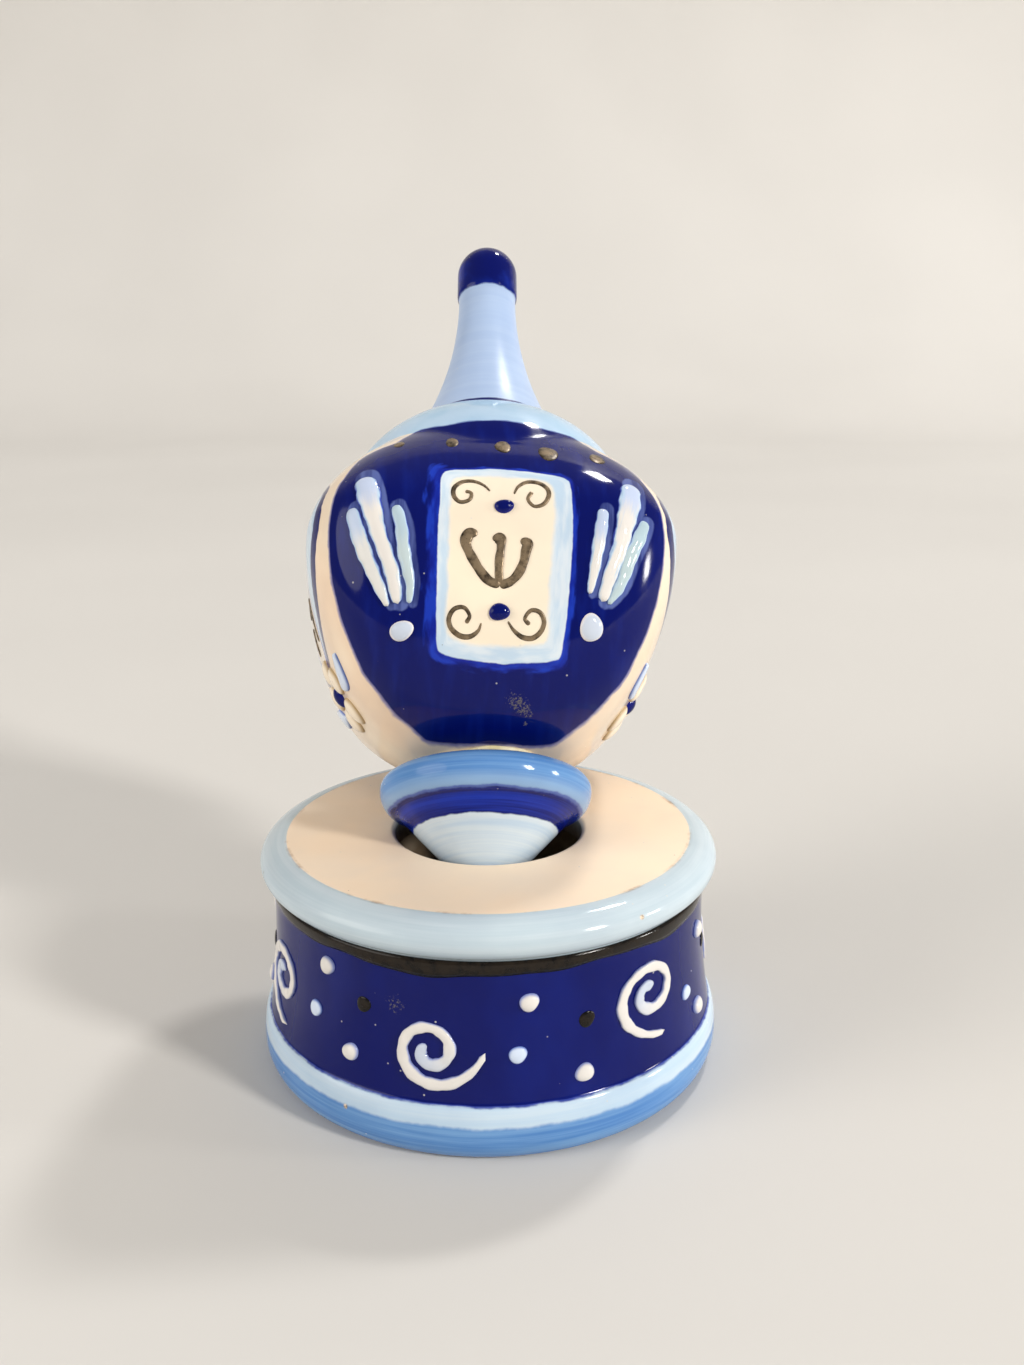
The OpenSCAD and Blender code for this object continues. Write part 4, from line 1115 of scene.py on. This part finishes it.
SHOULDER = [
    [-14.2, 44.9, 0.8, 0.9, 0.16], [-6.7, 44.7, 0.85, 1.3, 0.16], [0.5, 44.0, 1.1, 1.5, 0.16],
    [6.9, 42.9, 1.4, 1.7, 0.16], [14.1, 43.1, 1.2, 1.3, 0.16],
]
BLOSSOM_S = 14.5
PETAL_RING = 3.6


def scroll_rows(line):
    """A scroll's line with a brush's pressure: thin, thicker round the curl, a blob at its end."""
    width = [0.12, 0.24, 0.33, 0.35, 0.35, 0.34, 0.32, 0.28, 0.26, 0.33]
    return np.column_stack([line, width])


def petals():
    """Rows of the five petals round the blossom's middle."""
    a = np.radians(90 + 72 * np.arange(5))
    return np.stack([PETAL_RING * np.cos(a), BLOSSOM_S + PETAL_RING * np.sin(a),
                     np.full(5, 1.95), np.full(5, 1.95), np.full(5, 0.9)], -1)


def leaf(side):
    """A leaf that leaves the blossom sideways and bends up, widest in its middle."""
    f = np.linspace(0, 1, 40)
    width = 1.5 * (0.25 + 0.75 * np.sin(math.pi * f))
    return np.stack([side * (PETAL_RING + 2.4 + 6 * f), BLOSSOM_S - 1 + 3 * f * f, width], -1)


add_piece("dreidel_foot", make_foot(), FOOT_PAINT, "foot", "foot_glaze", "foot")
add_piece("dreidel_body", make_body(), BODY_PAINT, "dreidel", "body_glaze", "body")
add_piece("dreidel_stem", make_stem(), STEM_PAINT, "dreidel", "stem_glaze", "stem")
add_piece("dreidel_glue", make_glue(), GLUE_CLEAR, "dreidel", "glue", "foot_glue")
for k, (name, lines) in enumerate((("shin", SHIN), ("nun", NUN), ("gimel", GIMEL), ("hei", HEI))):
    add_piece("lustre_" + name, strokes(k, lines, 0.16, lump=0.05, flat=0.5),
              LUSTRE_FILM, "dreidel", "lustre", "mark_" + name)
add_piece("tile_scrolls", merge(
    strokes(k, [scroll_rows(p) for p in SCROLLS], 0.1, n=70, sides=10) for k in (0, 2)),
    LUSTRE_FILM, "dreidel", "lustre", "corner_scrolls")
add_piece("ray_trails", merge(
    strokes(k, RAYS, 0.5, tints=RAY_TINTS, lump=0.06, flat=1.0, sides=22) for k in (0, 2)),
    RAY_ENAMEL, "dreidel", "white_enamel", "ray_strokes")
for name, rows, paint, slot, node, faces in (
        ("tile_drops", BEADS, BLUE_ENAMEL, "blue_enamel", "tile_beads", (0, 2)),
        ("ray_drops", RAY_DROPS, DAB_ENAMEL, "pale_blue_enamel", "ray_dots", (0, 2)),
        ("shoulder_drops", SHOULDER, LUSTRE_FILM, "lustre", "shoulder_dots", (0, 2)),
        ("blossom_petals", petals(), CREAM_ENAMEL, "cream_enamel", "flower_petals", (1, 3)),
        ("blossom_middles", [[0, BLOSSOM_S, 1.5, 1.5, 1.1]], BLUE_ENAMEL, "blue_enamel",
         "flower_centres", (1, 3))):
    add_piece(name, merge(drops(face_surface(k), rows) for k in faces), paint, "dreidel", slot, node)
add_piece("blossom_leaves", merge(
    trail(face_surface(k), leaf(side), np.full(40, 0.55)) for k in (1, 3) for side in (-1, 1)),
    PALE_ENAMEL, "dreidel", "pale_blue_enamel", "flower_leaves")


# Studio

def make_stage():
    """Pale floor that sweeps up behind the object in a quarter circle."""
    a = np.radians(np.linspace(0, 90, 24))
    y = np.concatenate([[-5.0], 1.0 + 0.5 * np.sin(a), [1.5]])
    z = np.concatenate([[0], 0.5 - 0.5 * np.cos(a), [2.2]])
    n = len(y)
    i = np.arange(n - 1)
    verts = [[x, *row] for x in (-4.0, 4.0) for row in zip(y.tolist(), z.tolist())]
    mesh = bpy.data.meshes.new("studio_sweep")
    mesh.from_pydata(verts, [], np.stack([i, i + n, i + n + 1, i + 1], -1).tolist())
    mesh.polygons.foreach_set("use_smooth", np.ones(n - 1, bool))
    made, k, out = new_material("studio_paper")
    tone = k.noise(k.object(), 3.0, 2.0)
    k.put(k.mix(k.ramp(tone, 0.3, 0.7), PAPER, PAPER_PALE), out["Base Color"])
    out["Roughness"].default_value = 0.9
    mesh.materials.append(made)
    sweep = bpy.data.objects.new("studio_sweep", mesh)
    bpy.context.collection.objects.link(sweep)


def set_up(made, right, up, back, place):
    """Links a lamp or a camera with the given axes at a place."""
    matrix = np.eye(4)
    matrix[:3] = np.stack([right, up, back, place], -1)
    made.matrix_world = Matrix(matrix.tolist())
    bpy.context.collection.objects.link(made)


# How far the lamps are set back, as a share of the places given for them
LAMP_REACH = 1.8


def add_lamp(name, place, aim, size, watts, colour, shape="RECTANGLE"):
    """A soft lamp that looks at a point. It is set back by the reach from the place given, and its
    size and power grow with that, so that the light at the point stays."""
    data = bpy.data.lights.new(name, "AREA")
    data.shape = shape
    data.size, data.size_y = (LAMP_REACH * side for side in size)
    data.energy = LAMP_REACH ** 2 * watts
    data.color = colour
    back = np.array(place, float) - np.array(aim, float)
    place = np.array(aim, float) + LAMP_REACH * back
    back /= np.linalg.norm(back)
    right = np.cross([0, 0, 1], back)
    right /= np.linalg.norm(right)
    set_up(bpy.data.objects.new(name, data), right, np.cross(back, right), back, place)


def make_world():
    """Even grey light from all round; the camera sees it as pale as the floor."""
    world = bpy.data.worlds.new("studio")
    world.use_nodes = True
    k = Nodes(world.node_tree)
    light = world.node_tree.nodes["Background"]
    k.put((0.9, 0.9, 0.9, 1.0), light.inputs["Color"])
    k.put(0.36, light.inputs["Strength"])
    seen = k.node("ShaderNodeBackground")
    k.put(PAPER, seen.inputs["Color"])
    both = k.node("ShaderNodeMixShader")
    k.put(k.node("ShaderNodeLightPath").outputs["Is Camera Ray"], both.inputs[0])
    k.put(light.outputs[0], both.inputs[1])
    k.put(seen.outputs[0], both.inputs[2])
    k.put(both.outputs[0], world.node_tree.nodes["World Output"].inputs["Surface"])
    bpy.context.scene.world = world


# Camera as fitted to the photograph; focal length and picture height in pixels
CAMERA_AT = np.array([3.62, -181.63, 107.34])
CAMERA_DOWN = 15.7
CAMERA_ROLL = 0.3
FOCAL_PIXELS = 1300
PICTURE_PIXELS = 1365
SENSOR_H = 36.0


def add_camera():
    """Camera of the photograph: it looks down, rolled a little."""
    data = bpy.data.cameras.new("camera")
    data.sensor_fit = "VERTICAL"
    data.sensor_height = SENSOR_H
    data.lens = SENSOR_H * FOCAL_PIXELS / PICTURE_PIXELS
    data.clip_start = 0.01
    tilt, roll = math.radians(CAMERA_DOWN), math.radians(CAMERA_ROLL)
    back = np.array([0, -math.cos(tilt), math.sin(tilt)])
    up = np.array([0, math.sin(tilt), math.cos(tilt)])
    across = np.array([1.0, 0, 0])
    camera = bpy.data.objects.new("camera", data)
    set_up(camera, math.cos(roll) * across - math.sin(roll) * up, math.sin(roll) * across + math.cos(roll) * up,
           back, CAMERA_AT * MM)
    bpy.context.scene.camera = camera


make_stage()
add_lamp("window", (0.95, -0.69, 0.63), (0, 0, 0.06), (0.16, 0.24), 11.7, (1.0, 0.97, 0.93))
add_lamp("side_window", (1.2, -0.15, 0.24), (0, 0, 0.07), (0.15, 0.17), 4.4, (1.0, 0.98, 0.95))
for n, share in enumerate((1.0, 0.8, 0.6, 0.4)):
    add_lamp("fill_%d" % n, (-1.14, -0.51, 0.54), (0, 0, 0.06), (0.95 * share, 0.8 * share),
             5.2 * share * share, (1.0, 0.95, 0.89), "ELLIPSE")
add_lamp("back_window", (0.48, 0.69, 1.24), (0, 0, 0.05), (0.14, 0.14), 6.7, (1.0, 0.98, 0.96))
make_world()
bpy.context.scene.view_settings.view_transform = "Standard"
add_camera()
